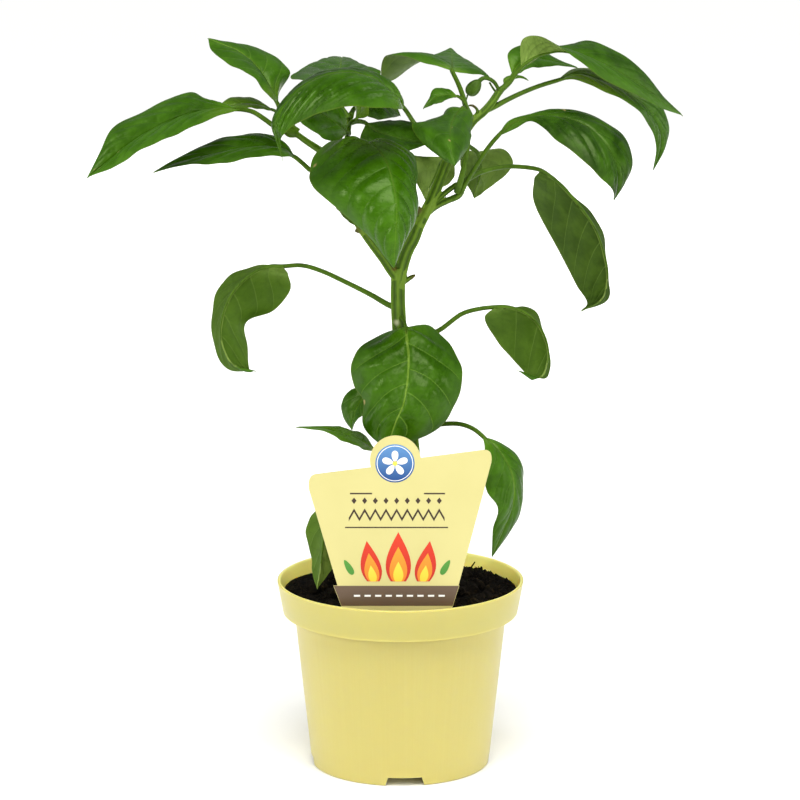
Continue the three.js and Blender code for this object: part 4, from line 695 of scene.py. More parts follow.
def leaf_blade_finish():
    """A living pepper leaf: a waxy cuticle over soft tissue, drawn by vein and place on the blade.

    The upper side is deep green with broad pale sheens; the underside is dull grey-green.
    """
    constants = {"Specular IOR Level": 0.27, "Specular Tint": GREEN_SHEEN}
    material, tree, shader = finish_of("leaf_cuticle_waxy", constants)
    blade = add(tree, ATTRIBUTE, attribute_name="blade").outputs["Vector"]
    vein = add(tree, ATTRIBUTE, attribute_name="vein").outputs["Vector"]
    flat = add(tree, ATTRIBUTE, attribute_name="flat").outputs["Vector"]  # millimetres on the blade
    habit = add(tree, ATTRIBUTE, attribute_name="habit").outputs["Vector"]
    look = add(tree, ATTRIBUTE, attribute_name="look").outputs["Vector"]
    along, across, upper = add(tree, SPLIT, {0: blade}).outputs
    row, cell, half = add(tree, SPLIT, {0: vein}).outputs
    tone, scar, spacing = add(tree, SPLIT, {0: habit}).outputs
    clear, gloss, beneath = add(tree, SPLIT, {0: look}).outputs
    share = add(tree, MATH, {0: across}, operation="ABSOLUTE")

    # The midrib, 1.5 mm wide at the base and 0.6 at the tip.
    from_rib = add(tree, MATH, {0: share, 1: half}, operation="MULTIPLY")
    rib_half = add(tree, MATH, {0: along, 1: -0.45, 2: 0.75}, operation="MULTIPLY_ADD")
    rib_edge = add(tree, MATH, {0: rib_half, 1: 0.35}, operation="MULTIPLY")
    rib = add(tree, STEP, {0: from_rib, 1: rib_half, 2: rib_edge}, **SOFTLY)

    # The side veins, 0.8 mm wide near the midrib and fading before the margin.
    from_vein = add(tree, MATH, {0: row, 1: 0.5}, operation="PINGPONG")
    from_vein = add(tree, MATH, {0: from_vein, 1: spacing}, operation="MULTIPLY")
    side_half = add(tree, MATH, {0: share, 1: -0.25, 2: 0.5}, operation="MULTIPLY_ADD")
    line = add(tree, STEP, {0: from_vein, 1: side_half, 2: 0.05}, **SOFTLY)
    started = add(tree, STEP, {0: row, 1: 0.15, 2: 0.35}, **SOFTLY)
    ended = add(tree, STEP, {0: share, 1: 1.0, 2: 0.82}, **SOFTLY)
    within = add(tree, MATH, {0: started, 1: ended}, operation="MULTIPLY")
    line = add(tree, MATH, {0: line, 1: within}, operation="MULTIPLY")

    # A shade on the tip side of every side vein, where the blade swells away from the light.
    past = add(tree, MATH, {0: row}, operation="FRACT")
    shade = add(tree, STEP, {0: past, 1: 0.6, 2: 0.0}, **SOFTLY)
    shade = add(tree, MATH, {0: shade, 1: within}, operation="MULTIPLY")

    # The fine net of veins round the swellings, and the soft mottling of the tissue.
    net = add(tree, STEP, {0: cell, 1: 0.3, 2: 0.0}, **SOFTLY)
    mottle = add(tree, NOISE, {"Vector": flat, "Scale": 1 / 9, "Detail": 3.0, "Roughness": 0.6})
    pores = add(tree, NOISE, {"Vector": flat, "Scale": 1 / 0.7, "Detail": 1.0})
    patch = add(tree, STEP, {0: mottle, 1: 0.35, 2: 0.68}, **SOFTLY)

    # Both sides: the tone, its mottling, and then each layer with its mask, strength and tint.
    flush = add(tree, STEP, {0: along, 1: 0.3, 2: 0.0}, **SOFTLY)
    beside = add(tree, STEP, {0: from_rib, 1: 3.5, 2: 0.5}, **SOFTLY)
    faint = add(tree, MATH, {0: clear, 1: 0.6}, operation="MULTIPLY")
    pale = add(tree, MATH, {0: tone, 1: beneath}, operation="ADD")
    above = (
        tone, [(0, "#173300"), (0.5, "#315b02"), (1, "#75942a")], 0.35, "#4a7a10",
        [(flush, 0.5, "#57831a"), (beside, 0.2, "#4f7c18"), (net, 0.16, "#1d4205"),
         (shade, 0.22, "#1f4203"), (line, faint, "#6d9430"), (rib, clear, "#7c9c36")],
    )
    below = (
        pale, [(0, "#273f04"), (0.5, "#3c5a0c"), (1, "#7c9644")], 0.3, "#54731e",
        [(net, 0.3, "#2e490a"), (shade, 0.3, "#2c4606"), (line, 0.32, "#6b8838"),
         (rib, 0.75, "#849b4a")],
    )
    sides = []
    for depth, stops, mottling, light, layers in (above, below):
        colour = add(tree, RAMP, {0: depth}, stops)
        spotted = add(tree, MIX, {0: mottling, 6: colour, 7: light}, data_type="RGBA")
        colour = add(tree, MIX, {0: patch, 6: colour, 7: spotted}, data_type="RGBA")
        for mask, strength, tint in layers:
            drawn = add(tree, MATH, {0: mask, 1: strength}, operation="MULTIPLY")
            colour = add(tree, MIX, {0: drawn, 6: colour, 7: tint}, data_type="RGBA")
        sides.append(colour)
    top, under = sides

    colour = add(tree, MIX, {0: upper, 6: under, 7: top}, data_type="RGBA")
    margin = add(tree, STEP, {0: share, 1: 0.965, 2: 0.99, 4: 0.4}, **SOFTLY)
    colour = add(tree, MIX, {0: margin, 6: colour, 7: "#5a6a1a"}, data_type="RGBA")
    speck = add(tree, NOISE, {"Vector": flat, "Scale": 1.1, "Detail": 3.0})
    speck = add(tree, MATH, {0: speck, 1: 0.5}, operation="ADD")
    speck = add(tree, MATH, {0: speck, 1: scar}, operation="MULTIPLY", use_clamp=True)
    colour = add(tree, MIX, {0: speck, 6: colour, 7: "#b7a069"}, data_type="RGBA")

    # Broad patches of wax shine; the margins and the whole underside are dull.
    waxy = add(tree, STEP, {0: mottle, 1: 0.3, 2: 0.7, 3: 0.34, 4: 0.48})
    waxy = add(tree, MATH, {0: gloss, 1: -0.2, 2: waxy}, operation="MULTIPLY_ADD")
    dull = add(tree, STEP, {0: share, 1: 0.6, 2: 1.0, 4: 0.25}, **SOFTLY)
    waxy = add(tree, MATH, {0: waxy, 1: dull}, operation="ADD")
    rough = add(tree, MIX, {0: upper, 2: 0.62, 3: waxy}, data_type="FLOAT")

    # Heights in millimetres: veins are grooves above and ridges below.
    sign = add(tree, MATH, {0: upper, 1: -0.26, 2: 0.14}, operation="MULTIPLY_ADD")
    height = add(tree, MATH, {0: net, 1: 0.45}, operation="MULTIPLY")
    height = add(tree, MATH, {0: height, 1: line}, operation="MAXIMUM")
    height = add(tree, MATH, {0: height, 1: sign}, operation="MULTIPLY")
    height = add(tree, MATH, {0: pores, 1: 0.05, 2: height}, operation="MULTIPLY_ADD")
    bump = add(tree, BUMP, {"Height": height, "Strength": 0.8, "Distance": MM})
    feed(tree, shader, {"Base Color": colour, "Roughness": rough, "Normal": bump})
    return material


def rind_finish(name, low, high, groove):
    """A young green stalk: a smooth rind, grooved along its length, with dark streaks painted along it as
    the shade of its grooves.
    """
    constants = {"Roughness": 0.5, "Specular IOR Level": 0.28, "Specular Tint": GREEN_SHEEN}
    material, tree, shader = finish_of(name, constants)
    spot = add(tree, PLACE).outputs["Object"]
    drawn_out = add(tree, VECTOR, {0: spot, 1: (900, 900, 160)}, operation="MULTIPLY")
    streak = add(tree, NOISE, {"Vector": drawn_out, "Scale": 1.0, "Detail": 2.0})
    patch = add(tree, NOISE, {"Vector": spot, "Scale": 120.0, "Detail": 3.0})
    colour = add(tree, RAMP, {0: patch}, [(0.3, low), (0.7, high)])
    # Painted shade: dark streaks of the groove colour along the rind.
    dark = add(tree, STEP, {0: streak, 1: 0.55, 2: 0.7, 4: 0.5}, **SOFTLY)
    colour = add(tree, MIX, {0: dark, 6: colour, 7: groove}, data_type="RGBA")
    return material, tree, shader, colour, streak, spot


def petiole_finish():
    """A leaf stalk: moist green rind, paler and yellower than the stem."""
    made = rind_finish("leaf_stalk_rind", "#38560a", "#4c6c14", "#283f06")
    material, tree, shader, colour, streak, _ = made
    bump = add(tree, BUMP, {"Height": streak, "Strength": 0.25, "Distance": 0.3 * MM})
    feed(tree, shader, {"Base Color": colour, "Normal": bump})
    return material


def stem_finish():
    """The stem: green ribbed rind with painted shade in its grooves and painted light on its rib crests,
    corky brown at the knots and scars.
    """
    made = rind_finish("stem_rind_ribbed", "#3c5a09", "#557618", "#2c4507")
    material, tree, shader, colour, streak, spot = made
    # Painted light and shade: the rib crests are painted paler and the grooves darker.
    crest = add(tree, ATTRIBUTE, attribute_name="crest").outputs["Fac"]
    pale = add(tree, STEP, {0: crest, 1: 0.15, 2: 1.0, 4: 0.6}, **SOFTLY)
    colour = add(tree, MIX, {0: pale, 6: colour, 7: "#6f8d2a"}, data_type="RGBA")
    groove_shade = add(tree, STEP, {0: crest, 1: 0.0, 2: -0.9, 4: 0.75}, **SOFTLY)
    colour = add(tree, MIX, {0: groove_shade, 6: colour, 7: "#28400a"}, data_type="RGBA")
    marks = [(knot, "#4f3a22", 0.8) for knot in KNOTS]
    marks += [(SHEATH, "#b9bb94", 0.85), (FORK_SPOT, "#5c3f1c", 0.6)]
    for (centre, size), tint, strength in marks:
        centre = [value * MM for value in centre]
        gap = add(tree, VECTOR, {0: spot, 1: centre}, operation="DISTANCE").outputs["Value"]
        reach = {0: streak, 1: size * MM, 2: 0.5 * size * MM}
        edge = add(tree, MATH, reach, operation="MULTIPLY_ADD")
        fade = {0: gap, 1: edge, 2: 0.5 * MM, 4: strength}
        cork = add(tree, STEP, fade, **SOFTLY)
        colour = add(tree, MIX, {0: cork, 6: colour, 7: tint}, data_type="RGBA")
    bump = add(tree, BUMP, {"Height": streak, "Strength": 0.5, "Distance": 0.5 * MM})
    feed(tree, shader, {"Base Color": colour, "Normal": bump})
    return material


def bud_finish():
    """The flower bud: a smooth dark green calyx with paler ribs."""
    made = rind_finish("bud_calyx", "#2c480c", "#466618", "#1f3408")
    material, tree, shader, colour, _, _ = made
    feed(tree, shader, {"Base Color": colour})
    return material


def pot_finish():
    """Injection-moulded polypropylene: even pale yellow, a soft satin gloss and faint upright marks; the
    collar has painted shade outside and painted light inside.
    """
    constants = {"Specular IOR Level": 0.5, "Subsurface Weight": 1.0,
                 "Subsurface Radius": (1.0, 0.85, 0.45), "Subsurface Scale": 3 * MM}
    material, tree, shader = finish_of("pot_polypropylene", constants)
    spot = add(tree, PLACE).outputs["Object"]
    x, y, z = add(tree, SPLIT, {0: spot}).outputs
    turn = add(tree, MATH, {0: y, 1: x}, operation="ARCTAN2")
    round_about = add(tree, JOIN, {0: turn, 1: z})
    strokes = add(tree, VECTOR, {0: round_about, 1: (60, 12, 1)}, operation="MULTIPLY")
    strokes = add(tree, NOISE, {"Vector": strokes, "Scale": 1.0, "Detail": 3.0, "Roughness": 0.6})
    cloud = add(tree, NOISE, {"Vector": spot, "Scale": 45.0, "Detail": 2.0})
    colour = add(tree, RAMP, {0: strokes}, [(0.3, "#c4b869"), (0.5, "#c5b96b"), (0.7, "#c6bb6e")])
    warm = add(tree, STEP, {0: cloud, 1: 0.35, 2: 0.7, 4: 0.35})
    colour = add(tree, MIX, {0: warm, 6: colour, 7: "#c7bb6a"}, data_type="RGBA")
    # Painted shade and light: the collar's outside is painted a shade darker, and its inside paler, for
    # the glow of daylight through the thin wall.
    wall = add(tree, ATTRIBUTE, attribute_name="wall").outputs["Fac"]
    # painted light: the inside of the collar is painted pale
    inner = add(tree, STEP, {0: wall, 1: 0.0, 2: 1.0})
    colour = add(tree, MIX, {0: inner, 6: colour, 7: "#ffec92"}, data_type="RGBA")
    # painted shade: the outside of the collar is painted darker
    outer = add(tree, STEP, {0: wall, 1: 0.0, 2: -1.0})
    colour = add(tree, MIX, {0: outer, 6: colour, 7: "#c0b767"}, data_type="RGBA")
    rough = add(tree, STEP, {0: cloud, 1: 0.3, 2: 0.7, 3: 0.33, 4: 0.39})
    skin = add(tree, NOISE, {"Vector": spot, "Scale": 900.0, "Detail": 2.0})
    height = add(tree, MATH, {0: strokes, 1: 0.12, 2: skin}, operation="MULTIPLY_ADD")
    bump = add(tree, BUMP, {"Height": height, "Strength": 0.12, "Distance": 0.2 * MM})
    feed(tree, shader, {"Base Color": colour, "Roughness": rough, "Normal": bump})
    return material


def peat_finish(name, dark, mid, light):
    """Moist peat: nearly black, matt, with crumbs and pale threads of fibre."""
    material, tree, shader = finish_of(name, {"Roughness": 0.9, "Specular IOR Level": 0.12})
    spot = add(tree, PLACE).outputs["Object"]
    coarse = add(tree, NOISE, {"Vector": spot, "Scale": 200.0, "Detail": 5.0, "Roughness": 0.7})
    fine = add(tree, NOISE, {"Vector": spot, "Scale": 1400.0, "Detail": 3.0, "Roughness": 0.7})
    colour = add(tree, RAMP, {0: coarse}, [(0.38, dark), (0.56, mid), (0.74, light)])
    height = add(tree, MATH, {0: fine, 1: 0.4, 2: coarse}, operation="MULTIPLY_ADD")
    bump = add(tree, BUMP, {"Height": height, "Strength": 1.0, "Distance": 1.6 * MM})
    feed(tree, shader, {"Base Color": colour, "Normal": bump})
    return material


def card_finish():
    """A plant card of smooth coated plastic board: cream, with a low sheen and a faint print grain."""
    constants = {"Roughness": 0.45, "Specular IOR Level": 0.4}
    material, tree, shader = finish_of("card_coated_board", constants)
    spot = add(tree, PLACE).outputs["Object"]
    cloud = add(tree, NOISE, {"Vector": spot, "Scale": 40.0, "Detail": 3.0})
    colour = add(tree, RAMP, {0: cloud}, [(0.3, "#cac17e"), (0.7, "#cec583")])
    paper = add(tree, NOISE, {"Vector": spot, "Scale": 2500.0, "Detail": 1.0})
    bump = add(tree, BUMP, {"Height": paper, "Strength": 0.1, "Distance": 0.1 * MM})
    feed(tree, shader, {"Base Color": colour, "Normal": bump})
    return material


def ink_finish(name, low, high, bottom, top):
    """Screen-printed ink with a satin film, shading from low at one height to high at another."""
    material, tree, shader = finish_of(name, {"Roughness": 0.42, "Specular IOR Level": 0.4})
    spot = add(tree, PLACE).outputs["Object"]
    up = add(tree, SPLIT, {0: spot}).outputs[2]
    screen = add(tree, NOISE, {"Vector": spot, "Scale": 1600.0, "Detail": 1.0})
    up = add(tree, MATH, {0: screen, 1: 0.0012, 2: up}, operation="MULTIPLY_ADD")
    share = add(tree, STEP, {0: up, 1: bottom * MM, 2: top * MM})
    feed(tree, shader, {"Base Color": add(tree, RAMP, {0: share}, [(0.0, low), (1.0, high)])})
    return material


# ---- Meshes ----
def placed(name, data):
    """A new object with this mesh or light, in the scene."""
    made = bpy.data.objects.new(name, data)
    bpy.context.scene.collection.objects.link(made)
    return made


def mesh_of(name, points, faces, finish):
    """A mesh object from points in millimetres and rows of faces."""
    mesh = bpy.data.meshes.new(name)
    mesh.from_pydata((np.asarray(points) * MM).tolist(), [], [list(map(int, f)) for f in faces])
    mesh.materials.append(finish)
    return placed(name, mesh)


def keep_values(mesh, name, values, kind="FLOAT"):
    """Keeps a number or a vector for every point of a mesh, for a tree or a material to read."""
    layer = mesh.attributes.new(name, kind, "POINT")
    field = "value" if kind == "FLOAT" else "vector"
    layer.data.foreach_set(field, np.asarray(values, float).ravel())


def ring_faces(rings, spokes):
    """The faces between closed rings of points that follow each other."""
    faces = []
    for i in range(rings):
        for j in range(spokes):
            a, b = i * spokes + j, i * spokes + (j + 1) % spokes
            faces.append((a, b, b + spokes, a + spokes))
    return faces


def prism_faces(count):
    """The faces of a prism from its two outlines of count points each: both ends, then the sides."""
    return [tuple(range(count)), tuple(range(2 * count - 1, count - 1, -1))] + ring_faces(1, count)


def circle(centre, radius, count):
    """Points on a circle in a plane."""
    turns = [2 * math.pi * k / count for k in range(count)]
    return [(centre[0] + radius * math.cos(a), centre[1] + radius * math.sin(a)) for a in turns]


def tidy(body, merge=0.0, smooth=True):
    """Merges doubles within merge millimetres, turns the faces outwards and sets their shading."""
    work = bmesh.new()
    work.from_mesh(body.data)
    if merge:
        bmesh.ops.remove_doubles(work, verts=work.verts, dist=merge * MM)
    bmesh.ops.recalc_face_normals(work, faces=work.faces)
    work.to_mesh(body.data)
    work.free()
    if smooth:
        body.data.shade_smooth()
    else:
        body.data.shade_flat()
    body.data.update()
    return body


def applied(body):
    """Replaces an object's mesh with the result of its modifiers, and removes them."""
    graph = bpy.context.evaluated_depsgraph_get()
    made = bpy.data.meshes.new_from_object(body.evaluated_get(graph))
    body.modifiers.clear()
    body.data = made
    return body


def with_modifier(body, kind, **settings):
    """Adds a modifier with these settings."""
    modifier = body.modifiers.new(kind.lower(), kind)
    for key, value in settings.items():
        setattr(modifier, key, value)


def hand_over(body, node):
    """Makes a finished piece ride on the plant, in place of a CAD node."""
    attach(body, "root")
    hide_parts(node)


def in_space(points):
    """Layout points (across, depth, up) in the part's own frame, in millimetres."""
    p = np.atleast_2d(np.array(points, float))
    reach = 1 + p[:, 1] / EYE_BACK
    return np.column_stack([p[:, 0] * reach, p[:, 1], EYE_UP + (p[:, 2] - EYE_UP) * reach])


def curve_at(points, share):
    """Places on the centripetal Catmull-Rom curve through points, at shares of its spans."""
    points = np.asarray(points, float)
    spans = len(points) - 1
    place = np.clip(np.asarray(share, float), 0, 1) * spans
    first = np.minimum(place.astype(int), spans - 1)
    weight = (place - first)[:, None]
    padded = np.vstack([2 * points[0] - points[1], points, 2 * points[-1] - points[-2]])
    p0, p1, p2, p3 = (padded[first + k] for k in range(4))
    d0, d1, d2 = (
        np.sum((b - a) ** 2, axis=1, keepdims=True) ** 0.25 for a, b in ((p0, p1), (p1, p2), (p2, p3))
    )
    d1 = np.where(d1 < 1e-4, 1.0, d1)
    d0 = np.where(d0 < 1e-4, d1, d0)
    d2 = np.where(d2 < 1e-4, d1, d2)
    t1 = ((p1 - p0) / d0 - (p2 - p0) / (d0 + d1) + (p2 - p1) / d1) * d1
    t2 = ((p2 - p1) / d1 - (p3 - p1) / (d1 + d2) + (p3 - p2) / d2) * d1
    c2 = -3 * p1 + 3 * p2 - 2 * t1 - t2
    c3 = 2 * p1 - 2 * p2 + t1 + t2
    return p1 + t1 * weight + c2 * weight**2 + c3 * weight**3


def unit(vectors):
    """The same directions, each one long."""
    length = np.linalg.norm(vectors, axis=-1, keepdims=True)
    return vectors / np.maximum(length, 1e-9)


def tangent_at(points, share):
    """The direction of the curve through points, at shares of its spans."""
    share = np.asarray(share, float)
    ahead = curve_at(points, np.minimum(share + 1e-4, 1))
    return unit(ahead - curve_at(points, np.maximum(share - 1e-4, 0)))


# ---- Trees of Geometry Nodes ----
def tree_with(name, sockets):
    """An empty tree with a geometry in and out, and named inputs: (name, kind, value)."""
    tree = bpy.data.node_groups.new(name, "GeometryNodeTree")
    tree.interface.new_socket("Geometry", in_out="INPUT", socket_type="NodeSocketGeometry")
    for title, kind, value in sockets:
        made = tree.interface.new_socket(title, in_out="INPUT", socket_type="NodeSocket" + kind)
        if value is not None:
            made.default_value = value
    tree.interface.new_socket("Finish", in_out="INPUT", socket_type="NodeSocketMaterial")
    tree.interface.new_socket("Geometry", in_out="OUTPUT", socket_type="NodeSocketGeometry")
    return tree, tree.nodes.new("NodeGroupInput").outputs


def close_tree(tree, geometry, given):
    """Ends a tree in real meshes with their material."""
    real = add(tree, "GeometryNodeRealizeInstances", {0: geometry})
    painted = add(tree, "GeometryNodeSetMaterial", {"Geometry": real, "Material": given["Finish"]})
    add(tree, "NodeGroupOutput", {0: painted})
    return tree


def grown(body, tree, finish, **values):
    """Runs a tree on an object with its inputs set, and keeps the result as a plain mesh."""
    modifier = body.modifiers.new(tree.name, "NODES")
    modifier.node_group = tree
    values["Finish"] = finish
    for item in tree.interface.items_tree:
        if item.in_out == "INPUT" and item.name.replace(" ", "_") in values:
            modifier[item.identifier] = values[item.name.replace(" ", "_")]
    body.update_tag()
    return applied(body)


def turned_shell_tree():
    """A chain of points (radius, 0, height) turned round the upright axis into a closed shell."""
    tree, given = tree_with("turned_shell", [("Segments", "Int", 144)])
    chain = given["Geometry"]
    count = add(tree, "GeometryNodeAttributeDomainSize", {0: chain}, component="MESH").outputs[0]
    columns = add(tree, MATH, {0: given["Segments"], 1: 1.0}, operation="ADD")
    grid = add(tree, "GeometryNodeMeshGrid", {"Vertices X": columns, "Vertices Y": count})
    index = add(tree, "GeometryNodeInputIndex")
    column = add(tree, MATH, {0: index, 1: count}, operation="DIVIDE")
    column = add(tree, MATH, {0: column}, operation="FLOOR")
    row = add(tree, MATH, {0: index, 1: count}, operation="MODULO")
    here = add(tree, "GeometryNodeInputPosition")
    inputs = {0: chain, "Value": here, "Index": row}
    sampled = add(tree, "GeometryNodeSampleIndex", inputs, data_type="FLOAT_VECTOR", domain="POINT")
    radius, _, height = add(tree, SPLIT, {0: sampled}).outputs
    angle = add(tree, MATH, {0: column, 1: given["Segments"]}, operation="DIVIDE")
    angle = add(tree, MATH, {0: angle, 1: 2 * math.pi}, operation="MULTIPLY")
    cosine = add(tree, MATH, {0: angle}, operation="COSINE")
    sine = add(tree, MATH, {0: angle}, operation="SINE")
    x = add(tree, MATH, {0: radius, 1: cosine}, operation="MULTIPLY")
    y = add(tree, MATH, {0: radius, 1: sine}, operation="MULTIPLY")
    place = add(tree, JOIN, {0: x, 1: y, 2: height})
    shell = add(tree, "GeometryNodeSetPosition", {"Geometry": grid, "Position": place})
    welded = add(tree, "GeometryNodeMergeByDistance", {"Geometry": shell, "Distance": 2e-6})
    return close_tree(tree, welded.outputs[0], given)


def ribbed_stalk_tree():
    """A stalk along a chain of points, as thick as their "thickness" says, with soft ribs."""
    sockets = [("Sides", "Int", 20), ("Ribs", "Float", 5.0), ("Rib depth", "Float", 0.08)]
    tree, given = tree_with("ribbed_stalk", sockets)
    path = add(tree, "GeometryNodeMeshToCurve", {0: given["Geometry"]})
    ring = add(tree, "GeometryNodeCurvePrimitiveCircle", {"Resolution": given["Sides"], "Radius": 1.0})
    index = add(tree, "GeometryNodeInputIndex")
    angle = add(tree, MATH, {0: index, 1: given["Sides"]}, operation="DIVIDE")
    angle = add(tree, MATH, {0: angle, 1: given["Ribs"]}, operation="MULTIPLY")
    angle = add(tree, MATH, {0: angle, 1: 2 * math.pi}, operation="MULTIPLY")
    wave = add(tree, MATH, {0: angle}, operation="COSINE")
    swell = add(tree, MATH, {0: wave, 1: given["Rib depth"], 2: 1.0}, operation="MULTIPLY_ADD")
    here = add(tree, "GeometryNodeInputPosition")
    place = add(tree, VECTOR, {0: here, "Scale": swell}, operation="SCALE")
    ribbed = add(tree, "GeometryNodeSetPosition", {"Geometry": ring, "Position": place})
    thick = add(tree, "GeometryNodeInputNamedAttribute", {"Name": "thickness"}, data_type="FLOAT")
    inputs = {"Curve": path, "Profile Curve": ribbed, "Scale": thick, "Fill Caps": True}
    skin = add(tree, "GeometryNodeCurveToMesh", inputs)
    return close_tree(tree, skin.outputs[0], given)


def crumb_scatter_tree():
    """Crumbs of many sizes and turns, sown on a surface inside a circle."""
    sockets = [("Density", "Float", 90000.0), ("Seed", "Int", 1), ("Smallest", "Float", 0.0006),
               ("Largest", "Float", 0.002), ("Reach", "Float", 0.054), ("Detail", "Int", 2),
               ("Stretch", "Vector", (1.0, 1.0, 1.0)), ("Lift", "Float", 0.0)]
    tree, given = tree_with("crumb_scatter", sockets)
    here = add(tree, "GeometryNodeInputPosition")
    level = add(tree, VECTOR, {0: here, 1: (1.0, 1.0, 0.0)}, operation="MULTIPLY")
    out = add(tree, VECTOR, {0: level}, operation="LENGTH").outputs["Value"]
    inside = add(tree, MATH, {0: out, 1: given["Reach"]}, operation="LESS_THAN")
    up = add(tree, SPLIT, {0: add(tree, "GeometryNodeInputNormal")}).outputs[2]
    faces_up = add(tree, MATH, {0: up, 1: 0.4}, operation="GREATER_THAN")
    inside = add(tree, MATH, {0: inside, 1: faces_up}, operation="MULTIPLY")
    inputs = {"Mesh": given["Geometry"], "Selection": inside, "Density": given["Density"],
              "Seed": given["Seed"]}
    sown = add(tree, "GeometryNodeDistributePointsOnFaces", inputs)
    ball = add(tree, "GeometryNodeMeshIcoSphere", {"Radius": 1.0, "Subdivisions": given["Detail"]})
    lumps = add(tree, NOISE, {"Scale": 1.3, "Detail": 1.0})
    swell = add(tree, MATH, {0: lumps, 1: 1.3, 2: 0.3}, operation="MULTIPLY_ADD")
    place = add(tree, VECTOR, {0: add(tree, "GeometryNodeInputPosition"), "Scale": swell},
                operation="SCALE")
    crumb = add(tree, "GeometryNodeSetPosition", {"Geometry": ball, "Position": place})
    shaped = add(tree, "GeometryNodeTransform", {"Geometry": crumb, "Scale": given["Stretch"]})
    turn = add(tree, "FunctionNodeRandomValue", data_type="FLOAT_VECTOR")
    draw = add(tree, "FunctionNodeRandomValue", data_type="FLOAT")
    for chance, least, most in ((turn, (0.0, 0.0, 0.0), (6.28, 6.28, 6.28)), (draw, 0.0, 1.0)):
        sockets = {socket.name: socket for socket in chance.inputs if socket.enabled}
        sockets["Min"].default_value = least
        sockets["Max"].default_value = most
        tree.links.new(given["Seed"], sockets["Seed"])
    share = add(tree, MATH, {0: draw.outputs[1], 1: 2.2}, operation="POWER")
    size = add(tree, STEP, {0: share, 3: given["Smallest"], 4: given["Largest"]})
    inputs = {"Points": sown.outputs[0], "Instance": shaped, "Rotation": turn.outputs[0],
              "Scale": size}
    grains = add(tree, "GeometryNodeInstanceOnPoints", inputs)
    rise = add(tree, JOIN, {2: given["Lift"]})
    inputs = {0: grains, "Translation": rise, "Local Space": False}
    lifted = add(tree, "GeometryNodeTranslateInstances", inputs)
    return close_tree(tree, lifted.outputs[0], given)


TURNED_SHELL = turned_shell_tree()
RIBBED_STALK = ribbed_stalk_tree()
CRUMBS = crumb_scatter_tree()

LEAF_BLADE = leaf_blade_finish()
PETIOLE_RIND = petiole_finish()
STEM_RIND = stem_finish()
BUD_CALYX = bud_finish()
POT_PLASTIC = pot_finish()
PEAT = peat_finish("peat_moist", "#060504", "#0f0c08", "#221a10")
PEAT_CRUMB = peat_finish("peat_crumbs", "#080604", "#17120b", "#4a3b20")
CARD_BOARD = card_finish()
INK_LINE = ink_finish("ink_line", "#38291d", "#3e2e21", 100, 180)
INK_BLUE = ink_finish("ink_blue", "#164684", "#5a8cc0", 155, 172)
INK_WHITE = ink_finish("ink_white", "#f4f4ee", "#fbfbf6", 100, 180)
INK_BROWN = ink_finish("ink_brown", "#584636", "#64513f", 88, 104)
INK_RED = ink_finish("ink_red", "#b3200f", "#d8391a", 104, 130)
INK_ORANGE = ink_finish("ink_orange", "#e0761a", "#efa32c", 104, 128)
INK_YELLOW = ink_finish("ink_yellow", "#f0c02c", "#f6dc55", 104, 124)
INK_GREEN = ink_finish("ink_green", "#3e7f2c", "#63a33c", 104, 134)


def chain_of(name, points, thickness=None):
    """A chain of edges through points in millimetres, with a thickness at each."""
    mesh = bpy.data.meshes.new(name)
    edges = [(k, k + 1) for k in range(len(points) - 1)]
    mesh.from_pydata((np.asarray(points) * MM).tolist(), edges, [])
    if thickness is not None:
        keep_values(mesh, "thickness", np.asarray(thickness, float) * MM)
    return placed(name, mesh)


def stalk_along(name, points, thickness, finish, sides, ribs, depth):
    """A ribbed stalk through points in millimetres, with its radius at each of them."""
    body = chain_of(name, points, thickness)
    made = grown(body, RIBBED_STALK, finish, Sides=sides, Ribs=ribs, Rib_depth=depth)
    return tidy(made, merge=0.001)


def joined(name, bodies, finish=None):
    """One object from several, each keeping its own material, or all in one finish."""
    work = bmesh.new()
    finishes = [finish] if finish else [body.data.materials[0] for body in bodies]
    for number, body in enumerate(bodies):
        before = len(work.faces)
        work.from_mesh(body.data)
        work.faces.ensure_lookup_table()
        for face in work.faces[before:]:
            face.material_index = min(number, len(finishes) - 1)
    mesh = bpy.data.meshes.new(name)
    for each in finishes:
        mesh.materials.append(each)
    work.to_mesh(mesh)
    work.free()
    for body in bodies:
        bpy.data.objects.remove(body)
    mesh.shade_smooth()
    return placed(name, mesh)


# ---- A leaf ----
def midrib_of(leaf):
    """The midrib's points, from the end of the stalk to the tip."""
    return in_space([leaf["stalk"][-1]] + leaf["rib"])


def margin_path(leaf, side):
    """One edge of the blade, from the base over its margin points to the tip."""
    margin = leaf["right"] if side else leaf["left"]
    profile = leaf.get("profile") or PROFILES[len(margin)]
    points = [leaf["stalk"][-1]]
    for point, rib, share in zip(margin, leaf["rib"], profile):
        if len(point) == 3:
            points.append((point[0], rib[1] + point[1], point[2]))
            continue
        reach = 1 + rib[1] / EYE_BACK
        seen = math.hypot(point[0] - rib[0], point[1] - rib[2]) * reach
        step = math.sqrt(max(0.0, (leaf["half"][side] * share) ** 2 - seen**2))
        points.append((point[0], rib[1] + leaf["turn"][side] * step, point[1]))
    points.append(leaf["rib"][-1])
    return in_space(points)


